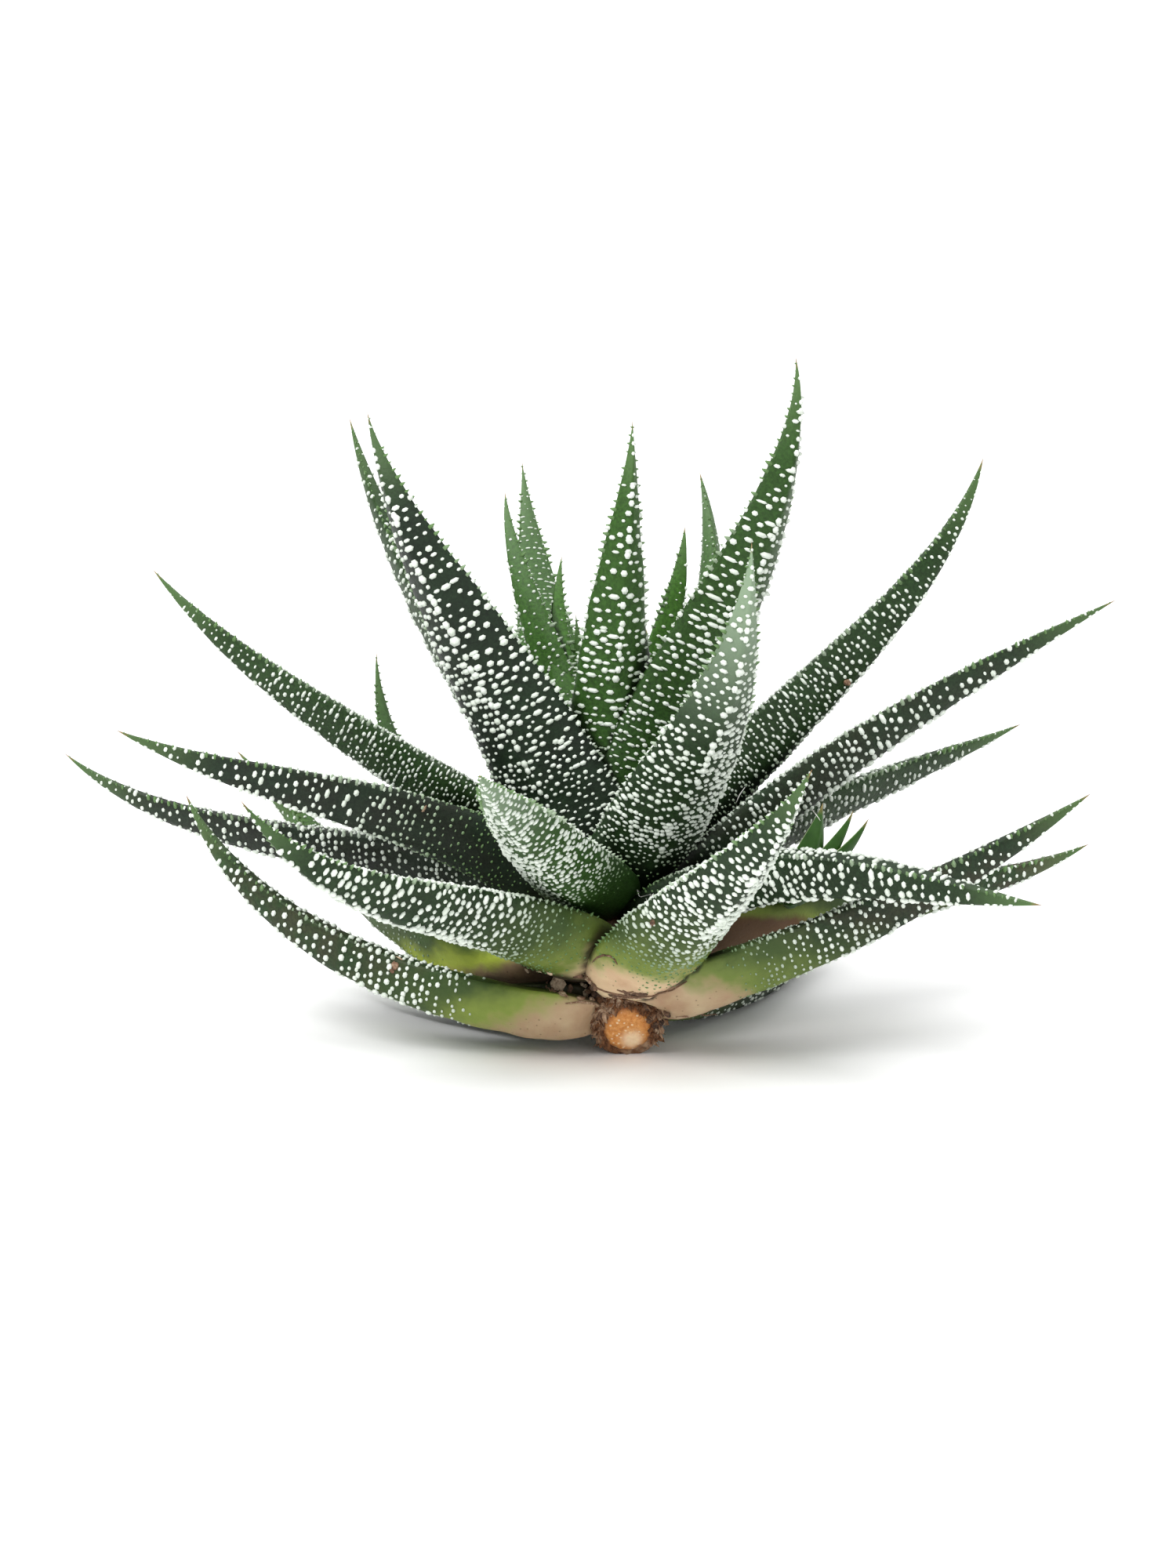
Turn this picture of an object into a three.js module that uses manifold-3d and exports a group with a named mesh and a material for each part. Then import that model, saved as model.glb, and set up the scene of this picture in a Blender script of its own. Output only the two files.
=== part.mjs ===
// A zebra haworthia, cut off its root: a tight spiral of thick, pointed leaves on a short stem,
// each leaf covered in raised white warts. It lies leaning back, on the rim of its cut stem and on
// two of the leaves behind. Millimetres, +Z up, the table at z = 0, +Y away from the front.

import * as THREE from 'three';
import { mergeVertices } from 'three/addons/utils/BufferGeometryUtils.js';
import Module from 'manifold-3d';

// How the whole plant lies: its stem leans back and a little to the left.
const LEAN_BACK = 32;
const LEAN_LEFT = 6;

// Where the middle of the stem's cut face lies, so that the flat spot under its rim is the origin.
const CUT_CENTRE = { x: -0.2, y: -2.15, z: 3.5 };

// Every leaf: wart height, the gap left between neighbours, the size of one facet along it and
// the number of corners round it, how far from the middle of the stem its root starts, and how
// full its heel is there, as a share of the whole leaf.
const WART = 0.55;
const WART_SHARE_ABOVE = 0.6;
const GAP = 0.35;
const FACET = 4.2;
const AROUND = 12;
const ROOT_RADIUS = 2.4;
const UPPER_SHARE = 0.3;
const HEEL_SHARE = 0.14;
const HEEL_FULL = 0.5;
const HEART_SEAT = 23;

// The stem under the leaves, with its bark, and the bare face where it was cut.
const STEM_RADIUS = 4.3;
const STEM_TOP_RADIUS = 2.0;
const STEM_TOP = 24;
const STEM_BELOW = 6;
const STEM_RINGS = 9;
const STEM_AROUND = 14;
const BARK_RELIEF = 0.3;
const CUT_TILT = 31;
const PITH_RADIUS = 2.6;
const PITH_PROUD = 0.3;
const PITH_LENGTH = 8;
const PITH_AROUND = 16;

// Leaves from the heart outwards. turn: degrees round the stem from the right, 90 at the front.
// seat: height on the stem. lift: the angle above level at the root, half way and at the tip.
// sway: how far the leaf has turned sideways at its tip. root: where its root starts, from the
// middle of the stem, when that is out at its surface. full: how full its heel is, when that
// isn't HEEL_FULL. Sizes in millimetres.
const LEAVES = [
  {
    name: 'leaf_heart_left', turn: 134, seat: 24.7, length: 34, lift: [71, 89, 103],
    sway: 3, width: 6.5, thick: 3.5,
  },
  {
    name: 'leaf_inner_left', turn: 148, seat: 26.8, length: 40, lift: [91, 74, 90],
    sway: 1, width: 8, thick: 4.5,
  },
  {
    name: 'leaf_heart_centre', turn: 250, seat: 26.5, length: 27, lift: [80, 86, 92],
    sway: 0, width: 5, thick: 3,
  },
  {
    name: 'leaf_inner_right', turn: 24, seat: 26, length: 35, lift: [80, 67, 79],
    sway: 0, width: 9.5, thick: 4.5,
  },
  {
    name: 'leaf_back_left_tall', turn: 252, seat: 22.7, length: 62, lift: [61, 70, 92],
    sway: -2, width: 11.5, thick: 4.5,
  },
  {
    name: 'leaf_back_right_tall', turn: 334, seat: 22.3, length: 52, lift: [59, 72, 96],
    sway: 0, width: 11, thick: 5.5,
  },
  {
    name: 'leaf_front_centre', turn: 81, seat: 21.1, length: 51, lift: [71, 46, 77],
    sway: -20, width: 10, thick: 5,
  },
  {
    name: 'leaf_back_inner', turn: 296, seat: 21, length: 36, lift: [62, 68, 80],
    sway: 0, width: 10.5, thick: 5,
  },
  {
    name: 'leaf_right_tall', turn: 48, seat: 19.7, length: 63, lift: [69, 42, 90],
    sway: -13, width: 14, thick: 5.5,
  },
  {
    name: 'leaf_left_tall', turn: 202, seat: 19.4, length: 71, lift: [68, 65, 79],
    sway: 1, width: 10, thick: 5.5,
  },
  {
    name: 'leaf_left_upper', turn: 171, seat: 17.9, length: 64, lift: [42, 37, 53],
    sway: -3, width: 12.5, thick: 5.5,
  },
  {
    name: 'leaf_back_upper', turn: 270, seat: 17, length: 54, lift: [48, 58, 72],
    sway: 0, width: 12, thick: 5.5,
  },
  {
    name: 'leaf_front_left_broad', turn: 125, seat: 16.5, length: 62, lift: [67, 48, 80],
    sway: 11, width: 15, thick: 5.5,
  },
  {
    name: 'leaf_front_keeled', turn: 63, seat: 16.1, length: 52, lift: [35, 19, 69],
    sway: 7, width: 13, thick: 6,
  },
  {
    name: 'leaf_front_facing', turn: 107, seat: 15.3, length: 52, lift: [0, -1, -10],
    sway: -13, width: 11, thick: 6,
  },
  {
    name: 'leaf_left_middle', turn: 158, seat: 14.2, length: 60, lift: [43, 14, 23],
    sway: 2, width: 13, thick: 6.5,
  },
  {
    name: 'leaf_back_right_upper', turn: 308, seat: 14, length: 42, lift: [38, 50, 64],
    sway: 0, width: 12, thick: 6,
  },
  {
    name: 'leaf_right_upper', turn: 12, seat: 15.1, length: 67, lift: [59, 37, 66],
    sway: -5, width: 13, thick: 6.5,
  },
  {
    name: 'leaf_left_long', turn: 186, seat: 13, length: 70, lift: [41, 18, 46],
    sway: 4, width: 12, thick: 5.5,
  },
  {
    name: 'leaf_back_left', turn: 224, seat: 13, length: 62, lift: [33, 48, 96],
    sway: 1, width: 11, thick: 5,
  },
  {
    name: 'leaf_right_drooping', turn: 31, seat: 11.7, length: 55, lift: [25, -18, -23],
    sway: -4, width: 11.5, thick: 6.5,
  },
  {
    name: 'leaf_right_back', turn: 335, seat: 12.1, length: 62, lift: [46, 25, 24],
    sway: -3, width: 11.5, thick: 5,
  },
  {
    name: 'leaf_right_middle', turn: 6, seat: 12.5, length: 68, lift: [41, 27, 21],
    sway: -5, width: 12, thick: 5,
  },
  {
    name: 'leaf_back_middle', turn: 278, seat: 10, length: 58, lift: [30, 44, 56],
    sway: 0, width: 12, thick: 6,
  },
  {
    name: 'leaf_right_lower_back', turn: 339, seat: 9.7, length: 61, lift: [20, 10, 24],
    sway: -3, width: 11, thick: 6,
  },
  {
    name: 'leaf_left_lower_back', turn: 202, seat: 8.3, length: 61, lift: [2, 46, 50],
    sway: 1, width: 11, thick: 6,
  },
  {
    name: 'leaf_left_front_low', turn: 134, seat: 7.9, length: 59, lift: [21, -2, 33],
    sway: -14, width: 13, thick: 6.5,
  },
  {
    name: 'leaf_prop_left', turn: 238, seat: 7.6, length: 54, lift: [16, 24, 44],
    sway: 0, width: 12, thick: 6,
  },
  {
    name: 'leaf_right_front_low', turn: 67, seat: 5.3, length: 53, lift: [14, 0, 25],
    sway: -7, width: 12.8, thick: 7.7, full: 0.8,
  },
  {
    name: 'leaf_left_scarred', turn: 214, seat: 5.4, length: 44, lift: [10, 22, 46],
    sway: 0, width: 9, thick: 5, root: [-4.6, 0.6],
  },
  {
    name: 'leaf_prop_right', turn: 302, seat: 5.5, length: 54, lift: [12, 22, 44],
    sway: 0, width: 12, thick: 6,
  },
  {
    name: 'leaf_right_bottom', turn: 5, seat: 2.6, length: 59, lift: [8, 19, 29],
    sway: -15, width: 10.5, thick: 6, root: [0.6, -3.2],
  },
  {
    name: 'leaf_left_bottom', turn: 176, seat: 2.2, length: 59, lift: [9, 32, 69],
    sway: 13, width: 10, thick: 5.8, full: 0.3,
  },
];

// A small offset growing between the leaves on the right: a runner from the stem, and a few
// smooth, flat leaves fused at its end. Its centre is this far out from the stem and up it.
const OFFSET_OUT = 20.4;
const OFFSET_ALONG = 13.6;
const RUNNER_RADIUS = 1.2;
const RUNNER_END_RADIUS = 1.6;
const RUNNER_SEAT = 12;
const OFFSET_LEAVES = [
  { turn: 53, length: 12, lift: [44, 49, 60] },
  { turn: 23, length: 12.5, lift: [38, 44, 56] },
  { turn: 11, length: 13, lift: [32, 38, 52] },
  { turn: 338, length: 9, lift: [30, 40, 55] },
  { turn: 290, length: 9, lift: [50, 60, 75] },
];
const OFFSET_LEAF_WIDTH = 4.6;
const OFFSET_LEAF_THICK = 1.8;
const OFFSET_FACET = 2.5;
const OFFSET_AROUND = 6;

const LEAF_COLOUR = 0x2f4f38;
const OFFSET_COLOUR = 0x3f7a2c;
const HEART_COLOUR = 0x4f8a3a;
const STEM_COLOUR = 0x7a5236;
const LEAF_ROUGHNESS = 0.55;
const OFFSET_ROUGHNESS = 0.5;
const STEM_ROUGHNESS = 0.9;

// Blocks for cutting, larger than the plant and larger than the stem.
const SLAB = 400;
const CUT_BLOCK = 60;

const wasm = await Module();
wasm.setup();

const degrees = (angle) => angle * Math.PI / 180;
const rise = (value, end) => {
  const t = Math.min(1, Math.max(0, value / end));
  return t * t * (3 - 2 * t);
};

// How wide and how thick a leaf is along its length, as a share of the most: a rounded heel,
// then a long taper to the point.
const heel = (s, full) => {
  const short = 1 - Math.min(1, s / HEEL_SHARE);
  return full + (1 - full) * Math.sqrt(1 - short * short);
};
const widthAt = (s, full) => 1.03 * Math.pow(1 - Math.pow(s, 2.3), 1.35) * heel(s, full);
const thickAt = (s, full) => (1 - Math.pow(s, 2.6)) * heel(s, full);

// Across a leaf: a low arch above and a deep one below that draws into a keel towards the tip.
// x runs from -1 to 1 across the leaf, and the height is a share of the thickness.
function sectionPoint(angle, s) {
  const x = Math.cos(angle);
  const keel = 0.2 + 0.5 * rise(s, 0.7);
  const round = Math.sqrt(Math.max(0, 1 - x * x));
  const upper = UPPER_SHARE * (1 - x * x);
  const lower = -(1 - UPPER_SHARE) * ((1 - keel) * round + keel * (1 - Math.abs(x)));
  return [x, Math.sin(angle) >= 0 ? upper : lower];
}

// The middle line of a leaf: where it is, which way it runs, its side and its upper face.
function leafLine(leaf, steps) {
  const [atRoot, atMiddle, atTip] = leaf.lift;
  const turn = degrees(leaf.turn);
  const [x, y] = leaf.root || [ROOT_RADIUS * Math.cos(turn), -ROOT_RADIUS * Math.sin(turn)];
  const place = new THREE.Vector3(x, y, leaf.seat);
  const line = [];
  let before = null;
  for (let i = 0; i <= steps; i += 1) {
    const s = i / steps;
    const rootShare = (1 - s) * (1 - 2 * s);
    const middleShare = 4 * s * (1 - s);
    const tipShare = s * (2 * s - 1);
    const lift = degrees(atRoot * rootShare + atMiddle * middleShare + atTip * tipShare);
    const heading = degrees(leaf.turn + leaf.sway * s * s);
    const outward = new THREE.Vector3(Math.cos(heading), -Math.sin(heading), 0);
    const along = outward.clone().multiplyScalar(Math.cos(lift)).setZ(Math.sin(lift));
    const up = outward.clone().multiplyScalar(-Math.sin(lift)).setZ(Math.cos(lift));
    const side = new THREE.Vector3().crossVectors(along, up);
    if (before) {
      const step = new THREE.Vector3().addVectors(before, along).multiplyScalar(leaf.length / steps / 2);
      place.add(step);
    }
    before = along;
    line.push({ s, place: place.clone(), along, up, side });
  }
  return line;
}

// The height of the wart at one corner of the leaf's net of facets: every other corner is one.
function wartAt(ring, spot, s) {
  const isWart = (ring + spot) % 2 === 0;
  const upperFace = spot > 0 && spot < AROUND / 2;
  const pastHeel = rise(s - 0.04, 0.16);
  const towardTip = 1 - 0.75 * rise(s - 0.55, 0.45);
  return isWart ? WART * pastHeel * towardTip * (upperFace ? WART_SHARE_ABOVE : 1) : 0;
}

// A leaf as a closed net of facets. grow makes it fatter all round, without warts, which is the
// room that it takes from the leaves below it.
function leafGeometry(leaf, grow) {
  const steps = Math.round(leaf.length / (leaf.facet || FACET));
  const around = leaf.around || AROUND;
  const full = leaf.full || HEEL_FULL;
  const line = leafLine(leaf, steps);
  const corners = [];
  const faces = [];
  const point = (p) => corners.push(p.x, p.y, p.z);
  const start = line[0].place.clone().addScaledVector(line[0].along, -grow);
  const end = line[steps].place.clone().addScaledVector(line[steps].along, grow);
  point(start);
  for (let ring = 0; ring < steps; ring += 1) {
    const { s, place, along, up, side } = line[ring];
    const halfWidth = leaf.width / 2 * widthAt(s, full);
    const thick = leaf.thick * thickAt(s, full);
    for (let spot = 0; spot < around; spot += 1) {
      const angle = 2 * Math.PI * spot / around;
      const [x, y] = sectionPoint(angle, s);
      const out = new THREE.Vector2(Math.cos(angle) * thick, Math.sin(angle) * halfWidth * 2).normalize();
      const raised = grow > 0 || leaf.smooth ? grow : wartAt(ring, spot, s);
      const p = place.clone();
      p.addScaledVector(side, x * halfWidth + out.x * raised);
      p.addScaledVector(up, y * thick + out.y * raised);
      if (ring === 0) p.addScaledVector(along, -grow);
      point(p);
    }
  }
  point(end);
  const last = corners.length / 3 - 1;
  for (let spot = 0; spot < around; spot += 1) {
    const next = (spot + 1) % around;
    faces.push(0, 1 + spot, 1 + next);
    for (let ring = 0; ring < steps - 1; ring += 1) {
      const a = 1 + ring * around + spot;
      const b = 1 + ring * around + next;
      const c = a + around;
      const d = b + around;
      if ((ring + spot) % 2 === 0) faces.push(a, c, b, b, c, d);
      else faces.push(a, c, d, a, d, b);
    }
    const top = 1 + (steps - 1) * around;
    faces.push(top + spot, last, top + next);
  }
  const geometry = new THREE.BufferGeometry();
  geometry.setAttribute('position', new THREE.Float32BufferAttribute(corners, 3));
  geometry.setIndex(faces);
  return geometry;
}

function solidOf(geometry) {
  const bare = geometry.clone();
  bare.deleteAttribute('normal');
  bare.deleteAttribute('uv');
  const merged = mergeVertices(bare, 1e-5);
  return new wasm.Manifold(new wasm.Mesh({
    numProp: 3,
    vertProperties: new Float32Array(merged.attributes.position.array),
    triVerts: new Uint32Array(merged.index.array),
  }));
}

function geometryOf(solid) {
  const mesh = solid.getMesh();
  const geometry = new THREE.BufferGeometry();
  geometry.setAttribute('position', new THREE.BufferAttribute(new Float32Array(mesh.vertProperties), 3));
  geometry.setIndex(new THREE.BufferAttribute(new Uint32Array(mesh.triVerts), 1));
  return geometry;
}

// The largest piece of a solid: scraps that a cut leaves loose are dropped.
function largest(solid) {
  const pieces = solid.decompose();
  pieces.sort((a, b) => b.volume() - a.volume());
  return pieces[0];
}

// The stem: a cone under the leaves whose bark stands up in rough scales, cut off on the slant,
// with the pale pith standing a little proud of the cut.
function stemGeometry(grow) {
  const rings = STEM_RINGS;
  const around = STEM_AROUND;
  const corners = [0, 0, -STEM_BELOW - grow];
  const faces = [];
  for (let ring = 0; ring <= rings; ring += 1) {
    const t = ring / rings;
    const ends = (ring === rings ? grow : 0) - (ring === 0 ? grow : 0);
    const height = -STEM_BELOW + t * (STEM_TOP + STEM_BELOW) + ends;
    const radius = STEM_RADIUS + (STEM_TOP_RADIUS - STEM_RADIUS) * rise(t, 1);
    for (let spot = 0; spot < around; spot += 1) {
      const angle = 2 * Math.PI * (spot + 0.5 * (ring % 2)) / around;
      const bark = BARK_RELIEF * Math.sin(spot * 2.4 + ring * 1.9);
      const scale = grow > 0 ? grow + BARK_RELIEF : bark;
      corners.push((radius + scale) * Math.cos(angle), (radius + scale) * Math.sin(angle), height);
    }
  }
  corners.push(0, 0, STEM_TOP + grow);
  const last = corners.length / 3 - 1;
  for (let spot = 0; spot < around; spot += 1) {
    const next = (spot + 1) % around;
    faces.push(0, 1 + next, 1 + spot);
    for (let ring = 0; ring < rings; ring += 1) {
      const a = 1 + ring * around + spot;
      const b = 1 + ring * around + next;
      if (ring % 2 === 0) faces.push(a, b, a + around, b, b + around, a + around);
      else faces.push(a, b, b + around, a, b + around, a + around);
    }
    faces.push(1 + rings * around + spot, 1 + rings * around + next, last);
  }
  const geometry = new THREE.BufferGeometry();
  geometry.setAttribute('position', new THREE.Float32BufferAttribute(corners, 3));
  geometry.setIndex(faces);
  return geometry;
}

// From the plant's own frame, where the stem stands upright, to the way it lies on the table.
const leanLeft = new THREE.Matrix4().makeRotationY(degrees(-LEAN_LEFT));
const leanBack = new THREE.Matrix4().makeRotationX(degrees(-LEAN_BACK));
const setDown = new THREE.Matrix4().makeTranslation(CUT_CENTRE.x, CUT_CENTRE.y, CUT_CENTRE.z);
const plantToTable = setDown.multiply(leanLeft).multiply(leanBack);

// All that would lie below the table, in the plant's frame: what rests there is pressed flat.
const slab = new THREE.BoxGeometry(SLAB, SLAB, SLAB);
slab.translate(0, 0, -SLAB / 2);
slab.applyMatrix4(plantToTable.clone().invert());
const belowTable = solidOf(slab);

// The slanted cut through the stem: all that lies beyond it is gone, but for the pith.
function beyondCut(proud) {
  const block = new THREE.BoxGeometry(CUT_BLOCK, CUT_BLOCK, CUT_BLOCK);
  block.translate(0, 0, -CUT_BLOCK / 2 - proud);
  block.rotateX(degrees(-CUT_TILT));
  return solidOf(block);
}

function makeStem() {
  const bark = solidOf(stemGeometry(0)).subtract(beyondCut(0));
  const pith = new THREE.CylinderGeometry(PITH_RADIUS, PITH_RADIUS, PITH_LENGTH, PITH_AROUND);
  pith.rotateX(Math.PI / 2);
  const pithSolid = solidOf(pith).subtract(beyondCut(PITH_PROUD));
  return bark.add(pithSolid).subtract(belowTable);
}

const plant = new THREE.Group();
plant.applyMatrix4(plantToTable);

function addPiece(name, solid, colour, roughness) {
  const material = new THREE.MeshStandardMaterial({ color: colour, roughness, metalness: 0 });
  const mesh = new THREE.Mesh(geometryOf(solid), material);
  mesh.name = name;
  plant.add(mesh);
}

addPiece('stem', makeStem(), STEM_COLOUR, STEM_ROUGHNESS);

// The leaves, from the heart outwards: each gives way to the stem and to the leaves inside it.
const taken = [solidOf(stemGeometry(GAP))];
for (const leaf of LEAVES) {
  let solid = solidOf(leafGeometry(leaf, 0)).subtract(belowTable);
  for (const other of taken) solid = solid.subtract(other);
  const colour = leaf.seat > HEART_SEAT ? HEART_COLOUR : LEAF_COLOUR;
  addPiece(leaf.name, largest(solid), colour, LEAF_ROUGHNESS);
  taken.push(solidOf(leafGeometry(leaf, WART + GAP)));
}

// The offset: its runner and leaves are one solid, clear of every leaf round it.
function makeOffset() {
  const centre = new THREE.Vector3(OFFSET_OUT, 0, OFFSET_ALONG);
  const foot = new THREE.Vector3(0, 0, RUNNER_SEAT);
  const reach = foot.distanceTo(centre);
  const runner = new THREE.CylinderGeometry(RUNNER_END_RADIUS, RUNNER_RADIUS, reach, OFFSET_AROUND, 1);
  runner.applyQuaternion(new THREE.Quaternion().setFromUnitVectors(
    new THREE.Vector3(0, 1, 0), centre.clone().sub(foot).normalize()));
  runner.translate(OFFSET_OUT / 2, 0, (OFFSET_ALONG + RUNNER_SEAT) / 2);
  let solid = solidOf(runner);
  for (const leaf of OFFSET_LEAVES) {
    const shape = {
      ...leaf, root: [OFFSET_OUT, 0], seat: OFFSET_ALONG, sway: 0, smooth: true,
      facet: OFFSET_FACET, around: OFFSET_AROUND, width: OFFSET_LEAF_WIDTH, thick: OFFSET_LEAF_THICK,
    };
    solid = solid.add(solidOf(leafGeometry(shape, 0)));
  }
  for (const other of taken) solid = solid.subtract(other);
  return largest(solid);
}

addPiece('offset_right', makeOffset(), OFFSET_COLOUR, OFFSET_ROUGHNESS);

export default plant;
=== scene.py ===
# A zebra haworthia, cut off its root and laid leaning back on its cut stem and two of its leaves.
# Blender 4.5, metres, +Z up. The file follows the plant as it grows: the stem, the leaves and the
# offset, then the dry scraps and crumbs caught in it, and last the ground, the light and the camera.

import math
import random

import bpy
from mathutils import Matrix, Vector, noise
from mathutils.bvhtree import BVHTree


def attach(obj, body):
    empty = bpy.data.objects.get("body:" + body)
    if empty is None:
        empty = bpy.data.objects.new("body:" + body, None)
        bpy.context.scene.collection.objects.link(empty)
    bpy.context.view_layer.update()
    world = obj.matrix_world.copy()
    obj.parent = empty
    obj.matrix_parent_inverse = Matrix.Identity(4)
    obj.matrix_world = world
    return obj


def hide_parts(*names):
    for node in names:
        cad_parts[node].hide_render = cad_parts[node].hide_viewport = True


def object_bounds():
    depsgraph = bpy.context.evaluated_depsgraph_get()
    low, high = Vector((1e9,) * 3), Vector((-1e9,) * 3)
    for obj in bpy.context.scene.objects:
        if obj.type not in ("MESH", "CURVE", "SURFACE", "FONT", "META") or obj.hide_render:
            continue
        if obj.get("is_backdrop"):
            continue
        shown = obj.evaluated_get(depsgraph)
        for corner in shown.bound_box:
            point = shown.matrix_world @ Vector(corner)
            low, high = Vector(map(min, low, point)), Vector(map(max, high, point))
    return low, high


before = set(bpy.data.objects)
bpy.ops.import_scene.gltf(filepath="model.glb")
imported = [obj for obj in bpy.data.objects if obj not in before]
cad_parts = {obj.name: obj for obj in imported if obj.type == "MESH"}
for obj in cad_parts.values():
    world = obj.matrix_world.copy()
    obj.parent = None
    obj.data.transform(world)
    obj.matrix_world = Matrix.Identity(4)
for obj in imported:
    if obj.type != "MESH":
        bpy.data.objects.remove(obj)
cad_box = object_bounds()

# The stem: short and woody under the leaves, cut off on the slant. Dry brown bark, frayed into
# scales and fibres at the cut, rings a core of moist orange pith, which stands a little proud.

# Sizes are in mm, except where a comment says metres, and heights are measured up the stem from
# the middle of its cut.
MM = 0.001
LEAN_BACK = math.radians(32)
LEAN_LEFT = math.radians(6)
CUT_CENTRE = Vector((-0.2, -2.15, 3.5)) * MM
CUT_SLOPE = math.tan(math.radians(31))
STEM_RADIUS = 4.3
STEM_TOP_RADIUS = 2.0
STEM_TOP = 24
STEM_BELOW = 6
PITH_RADIUS = 2.75
PITH_PROUD = 0.3
RIM_ROUND = 0.8
BARK_SPLIT = "2e1a10"
BARK_BROWN = "94643f"
BARK_GREY = "dcbc9c"
PITH_RIM = "7c421d"
PITH_RUST = "c47a38"
PITH_ORANGE = "e3a45e"
PITH_CREAM = "fbe3be"
PITH_SAP_GLINT = "f6e2bd"

plant_to_table = (
    Matrix.Translation(CUT_CENTRE)
    @ Matrix.Rotation(-LEAN_LEFT, 4, "Y")
    @ Matrix.Rotation(-LEAN_BACK, 4, "X")
)


def on_table(point):
    """A point of the upright plant, in mm, where it lies in metres: pressed flat at the table."""
    placed = plant_to_table @ (Vector(point) * MM)
    placed.z = max(placed.z, 0.0)
    return placed


def rise(value, end):
    """Smoothly from 0 at 0 to 1 at end."""
    t = min(1.0, max(0.0, value / end))
    return t * t * (3 - 2 * t)


def linear(colour):
    """An sRGB hex colour as the linear colour that a shader takes."""
    parts = [int(colour[i:i + 2], 16) / 255 for i in (0, 2, 4)]
    return [c / 12.92 if c <= 0.04045 else ((c + 0.055) / 1.055) ** 2.4 for c in parts] + [1.0]


def add(tree, kind, links=(), **settings):
    """Adds a node: settings are its properties, and links pairs each socket, by its name or, where
    several share one, its number, with a value, with another socket, or with a node, whose first
    output is meant."""
    node = tree.nodes.new(kind)
    for name, value in settings.items():
        setattr(node, name, value)
    for socket, value in dict(links).items():
        if isinstance(value, bpy.types.Node):
            value = value.outputs[0]
        if isinstance(value, bpy.types.NodeSocket):
            tree.links.new(value, node.inputs[socket])
        else:
            node.inputs[socket].default_value = value
    return node


def new_material(name):
    """A material with no nodes yet, and its node tree."""
    material = bpy.data.materials.new(name)
    material.use_nodes = True
    material.node_tree.nodes.clear()
    return material, material.node_tree


def solid_mesh(name, corners, faces, material):
    """A smooth mesh object whose corners are already where they lie."""
    mesh = bpy.data.meshes.new(name)
    mesh.from_pydata([tuple(corner) for corner in corners], [], faces)
    mesh.materials.append(material)
    mesh.polygons.foreach_set("use_smooth", [True] * len(mesh.polygons))
    mesh.validate()
    piece = bpy.data.objects.new(name, mesh)
    bpy.context.scene.collection.objects.link(piece)
    return piece


def store(piece, name, numbers):
    """Keeps a number for each corner of a piece, or one for all, where nodes can read it."""
    if not hasattr(numbers, "__len__"):
        numbers = [numbers] * len(piece.data.vertices)
    piece.data.attributes.new(name, "FLOAT", "POINT").data.foreach_set("value", numbers)


def net_faces(rings, around):
    """Faces between rings of corners that follow a first end corner and are followed by a last."""
    faces = [(0, 1 + spot, 1 + (spot + 1) % around) for spot in range(around)]
    for ring in range(rings - 1):
        for spot in range(around):
            a = 1 + ring * around + spot
            b = 1 + ring * around + (spot + 1) % around
            faces.append((a, a + around, b + around, b))
    top = 1 + (rings - 1) * around
    faces += [(top + spot, top + around, top + (spot + 1) % around) for spot in range(around)]
    return faces


def turned_out(faces):
    """The same faces, seen from their other side."""
    return [tuple(reversed(face)) for face in faces]


# A material's colours are laid over one another, each as far as its own factor says, by Mix nodes.
# These are their sockets for colours.
FACTOR = 0
UNDER = 6
OVER = 7
MIXED = 2

# Dry bark is matt: brown fibres, darkest in the splits between them, and greyed in patches. The
# fibres are drawn a little wider than they are, so that they show.
bark, tree = new_material("dry_fibrous_bark")
FIBRE = 0.35
FIBRE_RELIEF = 0.3
GREY_PATCH = 2.2
place = add(tree, "ShaderNodeTexCoord").outputs["Object"]
fibres = add(tree, "ShaderNodeTexNoise",
             {"Vector": place, "Scale": 1 / (FIBRE * MM), "Detail": 5.0, "Roughness": 0.75})
patches = add(tree, "ShaderNodeTexNoise",
              {"Vector": place, "Scale": 1 / (GREY_PATCH * MM), "Detail": 2.0})
unsplit = add(tree, "ShaderNodeMapRange", {"Value": fibres, "From Min": 0.32, "From Max": 0.62})
greying = add(tree, "ShaderNodeMapRange",
              {"Value": patches, "From Min": 0.48, "From Max": 0.7, "To Max": 0.75})
colour = linear(BARK_SPLIT)
for here, over in ((unsplit, BARK_BROWN), (greying, BARK_GREY)):
    colour = add(tree, "ShaderNodeMix", {FACTOR: here, UNDER: colour, OVER: linear(over)},
                 data_type="RGBA").outputs[MIXED]
bump = add(tree, "ShaderNodeBump", {"Height": fibres, "Strength": 1.0, "Distance": FIBRE_RELIEF * MM})
rough_bark = add(tree, "ShaderNodeBsdfPrincipled",
                 {"Base Color": colour, "Normal": bump, "Roughness": 0.88, "IOR": 1.45})
add(tree, "ShaderNodeOutputMaterial", {"Surface": rough_bark})
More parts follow.
